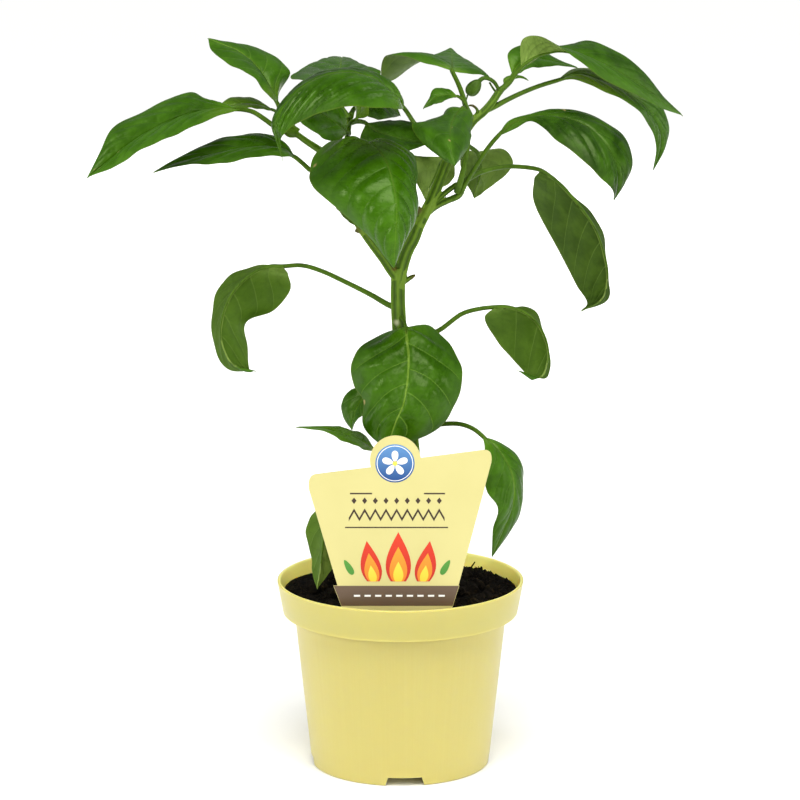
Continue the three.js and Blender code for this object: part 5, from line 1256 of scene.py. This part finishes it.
def blade_rows(leaf, along):
    """At each share along: the midrib's place, and both half-blades' reach, up and half-width."""
    middle = midrib_of(leaf)
    centre = curve_at(middle, along)
    ahead = tangent_at(middle, along)
    outs = [curve_at(margin_path(leaf, side), along) - centre for side in (0, 1)]
    ups = [unit(np.cross(ahead, outs[0])), unit(np.cross(outs[1], ahead))]
    # Where the margins meet at a point, the blade keeps a least width, level with the ground.
    spread = outs[1] - outs[0]
    flat = np.sum(spread**2, axis=1) < 1e-6
    spread[flat] = np.cross(ahead[flat], (0, 0, 1))
    least = BLADE["neck"] + (BLADE["tip"] - BLADE["neck"]) * along
    widths = []
    for side in (0, 1):
        width = np.linalg.norm(outs[side], axis=1)
        short = np.maximum(least - width, 0)
        outs[side] = outs[side] + unit(spread) * (short * (1 if side else -1))[:, None]
        widths.append(width)
    return centre, outs, ups, widths


BLISTER = 5.2  # millimetres across one small swelling of the blade, between the finest veins


def blister(forward, sideways, number):
    """Height of the small swellings, from 0 at the fine veins to 1, at a place on the blade."""
    spot = Vector((forward / BLISTER, sideways / BLISTER, 7.3 * number))
    near, second = noise.voronoi(spot)[0][:2]
    return min(1.0, 1.6 * (second - near)) ** 0.8


def blade_line(leaf, number, place, along, width, length, veins):
    """One line along the blade: its count of side veins, its fine cells and its lift in millimetres.

    The place of the line runs from -1 at the left margin over 0 at the midrib to 1 at the right.
    """
    side = 0 if place < 0 else 1
    share = abs(place)
    bulge = BLADE["bow"] * width * 4 * share * (1 - share)
    turn = BLADE["waves"] * along + BLADE["next_shift"] * number + BLADE["side_shift"] * side
    wave = BLADE["wave"] * width * np.sin(2 * math.pi * turn) * share**2
    finer = np.sin(2 * math.pi * (BLADE["ripples"] * turn + 0.3))
    ripple = BLADE["ripple"] * width * finer * share**4
    row = veins * (along - leaf["rise"] * (1 - BLADE["rise_fade"] * along) * share**1.15)
    row = row + BLADE["stagger"] * side
    swell = np.abs(np.sin(math.pi * row)) ** 0.6 * np.clip(row * 3, 0, 1)
    window = (1 - share**2.5) * np.clip(share * 2.5, 0, 1) ** 0.7 * np.clip((1 - along) * 5, 0, 1)
    pillow = leaf["pucker"] * swell * window * np.clip(width / 12, 0, 1)
    cell = np.array([blister(s * length, place * w, number) for s, w in zip(along, width)])
    pillow += leaf["blister"] * cell * np.clip(width / 10, 0, 1) * (1 - share**4)
    return row, cell, bulge + wave + ripple + pillow


def sheet_faces(rows, columns):
    """The faces of a closed sheet: an upper grid of points, a lower one, and the rim between."""
    index = np.arange(rows * columns).reshape(rows, columns)
    a, b = index[:-1, :-1].ravel(), index[:-1, 1:].ravel()
    c, d = index[1:, 1:].ravel(), index[1:, :-1].ravel()
    rim = np.concatenate([index[0, :-1], index[:-1, -1], index[-1, :0:-1], index[:0:-1, 0]])
    after = np.roll(rim, -1)
    below = index.size
    upper, lower = np.stack([a, b, c, d], 1), np.stack([a, d, c, b], 1) + below
    return np.concatenate([upper, lower, np.stack([rim, rim + below, after + below, after], 1)])


def leaf_blade(name, leaf, number):
    """The blade as a thin closed sheet with its veins in relief, and what its material reads."""
    fine = curve_at(midrib_of(leaf), np.linspace(0, 1, 200))
    length = float(np.sum(np.linalg.norm(np.diff(fine, axis=0), axis=1)))
    steps = int(np.clip(length / BLADE["step"], 26, 130))
    sides = int(np.clip(max(leaf["half"]) / BLADE["side_step"], 8, 30))
    veins = float(np.clip(round(length / leaf["every"]), 3, 9))
    along = np.linspace(0, 1, steps + 1)
    inner = (np.arange(sides + 1) / sides) ** 1.15
    across = np.concatenate([-inner[:0:-1], inner])
    centre, outs, ups, widths = blade_rows(leaf, along)
    lines, rows, cells, halves = [], [], [], []
    for place in across:
        side = 0 if place < 0 else 1
        row, cell, lift = blade_line(leaf, number, place, along, widths[side], length, veins)
        lines.append(centre + outs[side] * abs(place) + ups[side] * lift[:, None])
        rows.append(row)
        cells.append(cell)
        halves.append(widths[side])
    points = np.stack(lines, axis=1)
    normals = unit(np.cross(np.gradient(points, axis=1), np.gradient(points, axis=0)))

    # The sheet's two sides, with the midrib a groove above and a ridge beneath.
    reach = np.abs(across)[None, :] * np.stack(halves, axis=1)
    slim = (MIDRIB["base"] - MIDRIB["fade"] * along)[:, None]
    groove = MIDRIB["groove"] * np.exp(-((reach / (MIDRIB["groove_half"] * slim)) ** 2))
    ridge = MIDRIB["ridge"] * slim + MIDRIB["ridge_least"]
    ridge = ridge * np.exp(-((reach / (MIDRIB["ridge_half"] * slim)) ** 2))
    thinning = 1 - 0.8 * np.abs(across)[None, :] ** 8  # towards the margin
    half = (BLADE["sheet"] / 2 * thinning)[..., None]
    top = points + normals * (half - groove[..., None])
    under = points - normals * (half + MIDRIB["ridge_share"] * ridge[..., None])
    whole = np.concatenate([top.reshape(-1, 3), under.reshape(-1, 3)])
    body = mesh_of(name, whole, sheet_faces(*points.shape[:2]), LEAF_BLADE)

    grid = np.stack(np.meshgrid(along, across, indexing="ij"), -1)
    values = {
        "blade": grid,
        "vein": np.stack([np.stack(part, 1) for part in (rows, cells, halves)], -1),
        "flat": np.stack([grid[..., 0] * length, np.sign(across)[None, :] * reach], -1),
    }
    for key, part in values.items():
        values[key] = np.concatenate([part.reshape(-1, part.shape[-1])] * 2)  # above and beneath
    return body, values, length, 0.8 * length / veins


def leaf_stalk(name, leaf, length):
    """The leaf's stalk, which runs on under the blade as its midrib."""
    stalk = in_space(leaf["stalk"][:-1])
    centre, _, ups, _ = blade_rows(leaf, np.linspace(0, PETIOLE["reach"], 9))
    under = centre - unit(ups[0] + ups[1]) * PETIOLE["sunk"]
    path = np.concatenate([stalk, under])
    count = max(24, int(length * PETIOLE["reach"] / 1.2) + 4 * len(stalk))
    share = np.linspace(0, 1, count)
    bend = len(stalk) / (len(path) - 1)  # the share where the blade begins
    foot, blade, end = PETIOLE["foot"], PETIOLE["blade"], PETIOLE["end"]
    thick = np.where(
        share < bend,
        foot + (blade - foot) * share / bend,
        blade + (end - blade) * (np.maximum(share - bend, 0) / (1 - bend)) ** 0.7,
    )
    thick = thick + PETIOLE["heel"] * np.exp(-((share / (0.25 * bend)) ** 2))
    small = PETIOLE["small"] if max(leaf["half"]) < PETIOLE["small_below"] else 1.0
    line = curve_at(path, share)
    return stalk_along(name, line, small * leaf["slim"] * thick, PETIOLE_RIND, 14, 3.0, 0.07)


def leaf_habit(leaf, place, length, spacing):
    """At each (along, across) on a blade: its tone, how scarred it is, and the side veins' spacing."""
    along, across = place[:, 0], place[:, 1]
    young, reach = leaf["young"]
    calm = np.clip(1 - along / reach, 0, 1)
    left, right = leaf["sides"]
    half = np.clip(0.5 + 3 * across, 0, 1)
    tone = leaf["tone"] + young * calm * calm * (3 - 2 * calm) + (left + (right - left) * half)
    scarred = np.zeros(len(place))
    for onward, sideways, size in leaf["scars"]:
        gap = np.hypot((along - onward) * length, (across - sideways) * max(leaf["half"]))
        scarred = np.maximum(scarred, np.clip(1.3 - gap / size, 0, 1))
    return np.column_stack([tone, scarred, np.full(len(place), spacing)])


def build_leaf(name, leaf, number):
    """One leaf with its stalk, and at every point of its blade what the material reads."""
    blade, values, length, spacing = leaf_blade(name + "_blade", leaf, number)
    count = len(blade.data.vertices)
    stalk = leaf_stalk(name + "_petiole", leaf, length)
    whole = joined(name + "_leaf", [blade, stalk])
    whole.data.set_sharp_from_angle(angle=math.radians(55))
    upper = np.arange(count) < count // 2
    apart = np.full(count, 37.0 * number)  # so that no two leaves share their mottling
    layers = {
        "blade": np.column_stack([values["blade"], upper]),
        "vein": values["vein"],
        "flat": np.column_stack([values["flat"], apart]),
        "habit": leaf_habit(leaf, values["blade"], length, spacing),
        "look": np.tile((leaf["clear"], leaf["gloss"], leaf["beneath"]), (count, 1)),
    }
    on_stalk = np.zeros((len(whole.data.vertices) - count, 3))
    for key, rows in layers.items():
        keep_values(whole.data, key, np.vstack([rows, on_stalk]), "FLOAT_VECTOR")
    hand_over(whole, name)


for number, (name, leaf) in enumerate(LEAVES.items()):
    build_leaf(name, {**LEAF_HABIT, **leaf}, number)


# ---- The stem, as one skin over all its limbs ----
RIB_DEPTH = 0.11  # of the stem's ribs, as a share of its radius
SKIN = 0.4  # millimetres to a voxel when the limbs become one


def rib_crests(mesh, axes):
    """How far each point stands out of its groove, from -1 to 1, for the rind's painted light on the
    crests and painted shade in the grooves.
    """
    near = KDTree(len(axes))
    for number, (place, _) in enumerate(axes):
        near.insert(place * MM, number)
    near.balance()
    crests = []
    for vertex in mesh.vertices:
        found, number, _ = near.find(vertex.co)
        ahead = Vector(axes[min(number + 1, len(axes) - 1)][0] - axes[max(number - 1, 0)][0])
        gap = (vertex.co - found) / MM
        gap -= ahead.normalized() * gap.dot(ahead.normalized())
        crests.append(max(-1.0, min(1.0, (gap.length / axes[number][1] - 1) / RIB_DEPTH)))
    return crests


def build_stem():
    """The stem, its branches and its stubs: ribbed limbs, remeshed into one skin."""
    parts, axes = [], []
    for number, (path, (low, high)) in enumerate(LIMBS):
        share = np.linspace(0, 1, 6 * len(path))
        thick = low + (high - low) * share
        if number == 0:  # the foot of the stem swells a little as it enters the peat
            thick = thick + 0.5 * np.exp(-(((share - 0.22) / 0.1) ** 2))
        if number in STUBS:
            thick = thick * 0.8 * (1 - 0.5 * np.clip((share - 0.7) / 0.3, 0, 1) ** 2)
        ribs = 6.0 if low > 2 else 4.0
        line = curve_at(in_space(path), share)
        axes += zip(line, thick)
        parts.append(stalk_along(f"limb_{number}", line, thick, STEM_RIND, 36, ribs, RIB_DEPTH))
    whole = joined("stem_and_branches_rind", parts, STEM_RIND)
    with_modifier(whole, "REMESH", mode="VOXEL", voxel_size=SKIN * MM, use_smooth_shade=True)
    with_modifier(whole, "SMOOTH", factor=0.5, iterations=1)
    tidy(applied(whole))
    keep_values(whole.data, "crest", rib_crests(whole.data, axes))
    hand_over(whole, "stem_and_branches")


build_stem()


# ---- The flower bud ----
def build_bud():
    """The bud's five-ribbed calyx on its bent stalk, with a second stalk and the style."""
    rings, spokes = 22, 30
    points = []
    for i in range(rings + 1):
        lat = math.pi * i / rings
        for j in range(spokes):
            lon = 2 * math.pi * j / spokes
            swell = 1 + 0.09 * math.cos(5 * lon) * math.sin(lat)
            r = BUD["radius"] * math.sin(lat) ** 0.9 * swell * (1 + 0.18 * math.cos(lat))
            points.append((r * math.cos(lon), r * math.sin(lon), -BUD["half_length"] * math.cos(lat)))
    turned = np.array(points) @ np.array(Matrix.Rotation(BUD["lean"], 3, "Y")).T
    centre = in_space([BUD["centre"]])[0]
    ball = mesh_of("bud_ball", turned + centre, ring_faces(rings, spokes), BUD_CALYX)
    parts = [tidy(ball, merge=0.001)]
    share = np.linspace(0, 1, 24)
    for key, ribs in (("stalk", 4.0), ("second", 3.0), ("style", 3.0)):
        shape = 0.9 + 0.35 * share**3 if key == "stalk" else 1 - 0.25 * share
        line = curve_at(in_space(BUD[key]), share)
        thick = BUD[key + "_radius"] * shape
        parts.append(stalk_along("bud_" + key, line, thick, BUD_CALYX, 16, ribs, 0.06))
    hand_over(joined("flower_bud_calyx", parts, BUD_CALYX), "flower_bud")


build_bud()


# ---- The pot ----
def rounded(profile, steps=4):
    """Points along a profile of (radius, height, rounding) rows, with its corners rounded."""
    points = [np.array(row[:2], float) for row in profile]
    made = []
    for k, here in enumerate(points):
        rounding = profile[k][2]
        if not rounding:
            made.append(here)
            continue
        before, after = points[k - 1] - here, points[k + 1] - here
        reach = min(rounding, 0.45 * np.linalg.norm(before), 0.45 * np.linalg.norm(after))
        first = here + before / np.linalg.norm(before) * reach
        last = here + after / np.linalg.norm(after) * reach
        for i in range(steps + 1):
            t = i / steps
            made.append((1 - t) ** 2 * first + 2 * t * (1 - t) * here + t**2 * last)
    return made


def body_radius(height):
    """The inner radius of the pot below its collar, at a height."""
    share = (height - POT["foot_height"]) / (LIP_UP - POT["foot_height"])
    return POT["foot"] - POT["wall"] + (POT["neck"] - POT["foot"]) * share


def collar_radius(height):
    """The inner radius of the collar, at a height."""
    share = (height - SHELF_OUTER) / (POT["height"] - SHELF_OUTER)
    return POT["lip"] - POT["wall"] + (POT["rim"] - POT["lip"]) * share


def pot_profile():
    """The pot's wall, from under its floor, up the outside, over the rim and down the inside."""
    rim, lip, neck, foot = POT["rim"], POT["lip"], POT["neck"], POT["foot"]
    wall, edge, bead, height = POT["wall"], POT["edge"], POT["bead"], POT["height"]
    stand = POT["foot_height"]
    return [  # radius, height and rounding
        (0, stand, 0),
        (foot - POT["foot_wall"], stand, 0.6),
        (foot - POT["foot_wall"], 0, 0.4),
        (foot, 0, 0.6),
        (neck, LIP_UP + 3.5 * edge, 1.2),
        (lip - 0.55, LIP_UP + 1.4 * edge, 0.4),
        (lip - 0.3, LIP_UP, 0),
        (lip, LIP_UP, 0.5),
        (rim, height, 0.7),
        (rim - wall - bead, height, 0.8),
        (collar_radius(height - 2) - 0.8 * bead, height - 2, 0.8),
        (collar_radius(height - 7), height - 7, 1.5),
        (lip - wall, SHELF_OUTER, 1.5),
        (neck - wall, SHELF_INNER, 1.5),
        (body_radius(stand + wall), stand + wall, 2),
        (0, stand + wall, 0),
    ]


def prism(name, outline, start, end, finish, turn=0.0):
    """A closed prism with an outline in x and z, from y = start to y = end, turned round z."""
    points = [(x, y, z) for y in (start, end) for x, z in outline]
    spun = np.array(points) @ np.array(Matrix.Rotation(turn, 3, "Z")).T
    return tidy(mesh_of(name, spun, prism_faces(len(outline)), finish), smooth=False)


def foot_and_floor_cutters():
    """What the four notches of the foot and the drain holes are cut with."""
    foot, head, top = POT["notch_foot"] / 2, POT["notch_head"] / 2, POT["notch_height"]
    notch = [(-foot, -1), (foot, -1), (head, top), (-head, top)]
    inner = -POT["foot"] + 0.7 * POT["notch_reach"]
    cutters = []
    for quarter in range(4):
        turn = math.radians(POT["notch_turn"] + 90 * quarter)
        outer = inner - POT["notch_reach"]
        cutters.append(prism(f"notch_{quarter}", notch, outer, inner, POT_PLASTIC, turn))
    sides = 32
    for k, centre in enumerate(circle((0, 0), POT["drain_circle"], POT["drain_holes"])):
        ring = circle(centre, POT["drain_radius"], sides)
        points = [(x, y, z) for z in POT["drain_cut"] for x, y in ring]
        cutter = mesh_of(f"drain_{k}", points, prism_faces(sides), POT_PLASTIC)
        cutters.append(tidy(cutter, smooth=False))
    return cutters


def collar_side(place):
    """1 on the collar's inside, -1 on its outside and 0 on the walls below, at a place in metres."""
    out, up = math.hypot(place.x, place.y) / MM, place.z / MM
    middle = collar_radius(up) + POT["wall"] / 2
    inside = up > SHELF_INNER - 0.1 and out < middle
    outside = up > LIP_UP - 0.1 and out >= middle
    return float(inside) - float(outside)


def build_pot():
    """The pot: a turned shell with its notches and drain holes cut out."""
    outline = rounded(pot_profile())
    # The long walls get a few rings of their own, so that the light runs over them evenly.
    dense = [outline[0]]
    for here in outline[1:]:
        start = dense[-1]
        parts = max(1, int(np.linalg.norm(here - start) / POT["ring_gap"]))
        dense += [start + (here - start) * (k + 1) / parts for k in range(parts)]
    chain = chain_of("pot_moulded", [(r, 0, z) for r, z in dense])
    shell = grown(chain, TURNED_SHELL, POT_PLASTIC, Segments=160)
    tidy(shell)
    for cutter in foot_and_floor_cutters():
        with_modifier(shell, "BOOLEAN", operation="DIFFERENCE", solver="EXACT", object=cutter)
        applied(shell)
        bpy.data.objects.remove(cutter)
    tidy(shell, merge=0.002)
    shell.data.set_sharp_from_angle(angle=math.radians(38))
    # Which side of the collar each point is on, for the painted shade outside it and the painted light
    # inside it.
    keep_values(shell.data, "wall", [collar_side(vertex.co) for vertex in shell.data.vertices])
    hand_over(shell, "pot")


build_pot()


# ---- The soil ----
# What is sown on the peat, as the tree's own inputs: lengths in metres, and grains to a square metre.
SOWN = {
    "soil_clods": dict(
        Density=24000.0, Seed=3, Smallest=0.0014, Largest=0.0062, Reach=0.046,
        Detail=2, Stretch=(1.0, 0.85, 0.7), Lift=0.0004,
    ),
    "soil_crumbs": dict(
        Density=300000.0, Seed=5, Smallest=0.0003, Largest=0.0014, Reach=0.0545,
        Detail=1, Stretch=(1.0, 0.8, 0.8), Lift=0.0004,
    ),
    "soil_fibres": dict(
        Density=16000.0, Seed=7, Smallest=0.0010, Largest=0.0034, Reach=0.0515,
        Detail=1, Stretch=(1.0, 0.1, 0.1), Lift=0.0006,
    ),
}
# Bits of dry stalk in the peat, with their radii, in the leaves' layout.
TWIGS = [
    ([(33.8, 36, 95.0), (35.0, 36, 98.6), (36.8, 35.5, 101.4)], 0.55),
    ([(40.5, 6, 90.5), (43.4, 3, 90.9), (46.0, -1, 89.8)], 0.45),
    ([(-44.0, 12, 90.5), (-41.0, 9, 91.4), (-38.2, 5, 90.2)], 0.45),
]


def soil_top(x, y):
    """The height of the soil without its clods and grit."""
    share = min(1.0, math.hypot(x, y) / POT["lip"])
    heap = SOIL["heap"] * (1 - share**2) + SOIL["side_rise"] * (x / POT["lip"]) ** 2
    wide = math.sin(0.31 * x + 1.3) * math.cos(0.27 * y - 0.4)
    fine = math.sin(0.63 * x - 0.5 * y + 2.1)
    mound_x, mound_y = SOIL["mound_at"]
    away = (x - mound_x) ** 2 + (y - mound_y) ** 2
    mound = SOIL["mound"] * math.exp(-away / SOIL["mound_spread"])
    rough = SOIL["lump"] * (wide + 0.6 * fine) + mound
    return POT["height"] - SOIL["drop"] + heap + rough * (1 - share**6)


def peat_body():
    """The filling of peat: smooth where it meets the pot, and rough on top."""
    spokes, rings = 420, 84
    edge = collar_radius(POT["height"] - SOIL["drop"]) - SOIL["gap"]
    floor = POT["foot_height"] + POT["wall"] + 0.3
    shelf = SHELF_OUTER + 0.6
    sides = [
        (body_radius(floor) - 0.4, floor),
        (body_radius(LIP_UP) - 0.5, SHELF_INNER + 0.6),
        (collar_radius(shelf) - 0.4, shelf),
    ]
    points = [(x, y, height) for radius, height in sides for x, y in circle((0, 0), radius, spokes)]
    for i in range(rings, 0, -1):
        radius = edge * i / rings
        calm = min(1.0, (edge - radius) / 2)
        for x, y in circle((0, 0), radius, spokes):
            clods = SOIL["clod"] * noise.fractal(Vector((x * 0.33, y * 0.33, 3.1)), 0.8, 2.1, 4)
            grit = SOIL["grit"] * noise.noise(Vector((x * 1.3, y * 1.3, 8.7)))
            points.append((x, y, soil_top(x, y) - SOIL["under"] + calm * (clods + grit)))
    gaps = len(sides) + rings - 1
    faces = ring_faces(gaps, spokes)
    low_end, high_end, last = len(points), len(points) + 1, gaps * spokes
    points += [(0, 0, floor), (0, 0, soil_top(0, 0) - SOIL["under"])]
    for j in range(spokes):
        k = (j + 1) % spokes
        faces += [(k, j, low_end), (last + j, last + k, high_end)]
    return tidy(mesh_of("soil_peat", points, faces, PEAT))


def build_soil():
    """The peat with the clods, crumbs, fibres and bits of stalk that lie on it."""
    ground = peat_body()
    for name, sizes in SOWN.items():
        grains = grown(placed(name, ground.data.copy()), CRUMBS, PEAT_CRUMB, **sizes)
        hand_over(tidy(grains, smooth=False), "soil")
    hand_over(ground, "soil")
    twigs = []
    for number, (path, thick) in enumerate(TWIGS):
        line = curve_at(in_space(path), np.linspace(0, 1, 10))
        thinning = np.linspace(thick, 0.6 * thick, 10)
        twigs.append(stalk_along(f"twig_{number}", line, thinning, PEAT_CRUMB, 8, 3.0, 0.1))
    hand_over(joined("soil_twigs", twigs), "soil")


build_soil()


# ---- The card and its print, as (across, up) in millimetres ----
INK_FILM = 0.07  # an ink stands this proud of the card, so that it is a closed solid of its own
INK_ROOT = 0.05  # and goes this far into it


def arc(centre, radius, start, end, steps):
    """Points on an arc from one angle to another, both ends among them."""
    turns = [start + (end - start) * k / steps for k in range(steps + 1)]
    return [(centre[0] + radius * math.cos(a), centre[1] + radius * math.sin(a)) for a in turns]


def bent(start, pull, end, steps=8):
    """A quadratic curve from start to end, without its first point."""
    made = []
    for k in range(1, steps + 1):
        t = k / steps
        ends = zip(start, pull, end)
        made.append(tuple((1 - t) ** 2 * s + 2 * t * (1 - t) * p + t**2 * e for s, p, e in ends))
    return made


def card_outline():
    """The card's edge, from the point of its stake up the right side, over the tab and back."""
    half = CARD["stake_width"] / 2
    cx, cz = CARD["tab_centre"]
    right, left = CARD["tab_right"], CARD["tab_left"]
    begin = math.atan2(right[1] - cz, right[0] - cx)
    finish = math.atan2(left[1] - cz, left[0] - cx) + 2 * math.pi
    point = CARD["stake_bottom"] + CARD["stake_point"]
    outline = [(half * 0.35, CARD["stake_bottom"]), (half, point), (half, CARD["foot_right"][1])]
    outline += [CARD[key] for key in ("foot_right", "band_right", "waist_right", "right_corner")]
    pull = (CARD["right_corner"][0] + 1, CARD["top_right"][1] + 0.8)
    outline += bent(CARD["right_corner"], pull, CARD["top_right"])
    outline += arc((cx, cz), CARD["tab_radius"], begin, finish, 40)
    outline.append(CARD["top_left"])
    pull = (CARD["left_corner"][0] - 1, CARD["top_left"][1] - 0.5)
    outline += bent(CARD["top_left"], pull, CARD["left_corner"])
    outline += [CARD[key] for key in ("waist_left", "band_left", "foot_left")]
    outline += [(-half, CARD["foot_left"][1]), (-half, point), (-half * 0.35, CARD["stake_bottom"])]
    return outline


def printed(name, outline, finish, layer=1):
    """One closed flat shape of ink on the card's front; a higher layer lies over a lower one."""
    front = CARD["front"]
    body = prism(name, outline, front - INK_FILM * layer, front + INK_ROOT, finish)
    work = bmesh.new()
    work.from_mesh(body.data)
    bmesh.ops.triangulate(work, faces=[face for face in work.faces if len(face.verts) > 4])
    work.to_mesh(body.data)
    work.free()
    hand_over(body, "plant_label")


def bar(left, right, low, high):
    """A rectangle."""
    return [(left, low), (right, low), (right, high), (left, high)]


def petal(foot, turn, middle, reach, wide, swell, count):
    """The outline of a petal or leaf that points away from its foot, at an angle.

    Its middle is that far from the foot. The reach and wide are its half-length and half-width, and a
    swell above 0 makes it broader towards its far end.
    """
    shape = []
    for k in range(count):
        t = 2 * math.pi * k / count
        along = middle + reach * math.cos(t)
        aside = wide * math.sin(t) * (1 + swell * math.cos(t))
        shape.append((foot[0] + along * math.cos(turn) - aside * math.sin(turn),
                      foot[1] + along * math.sin(turn) + aside * math.cos(turn)))
    return shape


def flame(centre, base, height, wide, lean):
    """A flame: widest below its middle, pointed at the top and leaning to one side."""
    side = []
    for t in np.linspace(0, 1, 13):
        half = wide * math.sin(math.pi * min(1.0, 0.12 + 0.88 * t) ** 0.75)
        side.append((half, base + height * t))
    shape = [(centre + half + lean * (z - base), z) for half, z in side]
    shape += [(centre - half + lean * (z - base), z) for half, z in side[::-1]]
    return [p for k, p in enumerate(shape) if k == 0 or math.dist(p, shape[k - 1]) > 0.02]


def band_edge(side, up):
    """Where the card's left or right edge is, between its foot and the top of its band."""
    foot, head = CARD["foot_" + side], CARD["band_" + side]
    return foot[0] + (head[0] - foot[0]) * ((up - foot[1]) / (head[1] - foot[1]))


def print_badge():
    """A blue disc with a plain white five-petalled flower, in the round tab."""
    disc = (-2.6, 162.4)
    printed("print_disc", circle(disc, 9.4, 64), INK_BLUE, 1)
    printed("print_ring", circle(disc, 8.7, 64), INK_WHITE, 2)
    printed("print_disc_inner", circle(disc, 8.35, 64), INK_BLUE, 3)
    for k in range(5):
        turn = math.pi / 2 + 2 * math.pi * k / 5
        printed(f"print_petal_{k}", petal(disc, turn, 3.6, 2.7, 1.55, 0.25, 24), INK_WHITE, 4)
    printed("print_flower_heart", circle(disc, 1.2, 24), INK_YELLOW, 4)


def print_rules():
    """Three thin lines, with a row of diamonds over a zigzag between them."""
    printed("print_rule_left", bar(-24.2, -13.6, 147.2, 147.9), INK_LINE)
    printed("print_rule_right", bar(11.3, 21.4, 147.2, 147.9), INK_LINE)
    printed("print_rule_long", bar(-26.6, 22.9, 130.5, 131.1), INK_LINE)
    teeth, begin, foot, tall, stroke = 9, -24.8, 135.6, 4.6, 1.7
    step = 46.0 / teeth
    upper = [(begin + step * k / 2, foot + (tall if k % 2 else 0)) for k in range(2 * teeth + 1)]
    lower = [(x, z - stroke) for x, z in reversed(upper)]
    printed("print_zigzag", upper + lower, INK_LINE)
    for k in range(teeth):
        x = begin + step * (k + 0.5)
        diamond = [(x, 142.4), (x + 1.2, 144), (x, 145.6), (x - 1.2, 144)]
        printed(f"print_diamond_{k}", diamond, INK_LINE)


def print_flames():
    """Three plain flames in red, orange and yellow, with a green leaf on each side."""
    base, height, wide = 104, 24.5, 6.1
    for k, (centre, size, lean) in enumerate([(-13, 0.82, -0.16), (-1, 1.0, 0.0), (11, 0.82, 0.16)]):
        for layer, (share, ink) in enumerate([(1.0, INK_RED), (0.7, INK_ORANGE), (0.4, INK_YELLOW)]):
            shape = flame(centre, base, height * size * share, wide * size * share, lean)
            printed(f"print_flame_{k}_{layer}", shape, ink, layer + 1)
    for name, foot, degrees in (("left", -22.6, 120), ("right", 19.4, 60)):
        shape = petal((foot, 107), math.radians(degrees), 4.6, 4.2, 1.5, -0.3, 20)
        printed("print_leaf_" + name, shape, INK_GREEN)


def print_band():
    """The brown band over the foot, just inside the card's edges, with a row of pale dashes."""
    low, high, inset = 91.8, 101.8, 0.2
    corners = [("left", low, inset), ("right", low, -inset),
               ("right", high, -inset), ("left", high, inset)]
    band = [(band_edge(side, up) + shift, up) for side, up, shift in corners]
    printed("print_band", band, INK_BROWN)
    for k in range(9):
        x = -22.4 + 5.1 * k
        printed(f"print_dash_{k}", bar(x, x + 3.0, 96.4, 97.3), INK_WHITE, 2)


def build_card():
    """The card with its softened edges, and all that is printed on it."""
    front, thick = CARD["front"], CARD["thickness"]
    card = prism("label_card", card_outline(), front, front + thick, CARD_BOARD)
    with_modifier(card, "BEVEL", width=0.18 * MM, segments=2, limit_method="ANGLE")
    tidy(applied(card))
    card.data.set_sharp_from_angle(angle=math.radians(40))
    hand_over(card, "plant_label")
    print_badge()
    print_rules()
    print_flames()
    print_band()


build_card()


# ---- The stage: a pale floor and soft studio light ----
FLOOR_REACH = 6000  # millimetres to each side
FLOOR_UP = -0.2
SKY = 0.27
LIT_PLACE = (0, 0, 0.2)  # what all the lights point at, in metres
BANK = {"name": "overhead_bank", "place": (0.05, -0.8, 2.0), "energy": 2.65, "angle": 40}
BOXES = [  # name, place and size in metres, and watts
    ("box_left", (-1.3, -1.1, 1.0), (0.42, 0.42), 9.0),
    ("strip_left", (-1.2, -0.02, 0.4), (0.2, 0.8), 2.5),
    ("strip_right", (1.5, 0.15, 0.55), (0.25, 1.1), 2.5),
    ("box_right", (1.5, -1.2, 0.7), (0.8, 0.8), 9.0),
    ("box_front", (0.05, -2.3, 1.1), (0.7, 0.7), 7.5),
    ("box_back", (0.2, 1.9, 0.9), (1.2, 0.9), 16.0),
]


def hang(data, place):
    """Hangs a light, out of the camera's sight and pointed at the plant."""
    light = placed(data.name, data)
    light.location = place
    light.rotation_euler = (Vector(LIT_PLACE) - Vector(place)).to_track_quat("-Z", "Y").to_euler()
    light.visible_camera = False
    # The box behind lifts the shaded side and shines through the thin walls, but draws no sheen.
    light.visible_glossy = data.name != "box_back"


def build_stage():
    """A floor, an even pale sky, a wide bank overhead and the soft boxes that draw the sheens."""
    constants = {"Base Color": "#fdfdfb", "Roughness": 0.8, "Specular IOR Level": 0.1}
    finish = finish_of("floor_pale", constants)[0]
    corners = bar(-FLOOR_REACH, FLOOR_REACH, -FLOOR_REACH, FLOOR_REACH)
    floor = mesh_of("floor", [(x, y, FLOOR_UP) for x, y in corners], [(0, 1, 2, 3)], finish)
    world = bpy.data.worlds.new("studio")
    world.use_nodes = True
    sky = world.node_tree
    feed(sky, sky.nodes["Background"], {"Color": (1, 1, 1, 1), "Strength": SKY})
    bpy.context.scene.world = world
    bank = bpy.data.lights.new(BANK["name"], "SUN")
    bank.energy = BANK["energy"]
    bank.angle = math.radians(BANK["angle"])
    hang(bank, BANK["place"])
    for name, place, size, watts in BOXES:
        box = bpy.data.lights.new(name, "AREA")
        box.shape = "RECTANGLE"
        box.size, box.size_y = size
        box.energy = watts
        hang(box, place)


build_stage()
bpy.context.scene.view_settings.view_transform = "Standard"
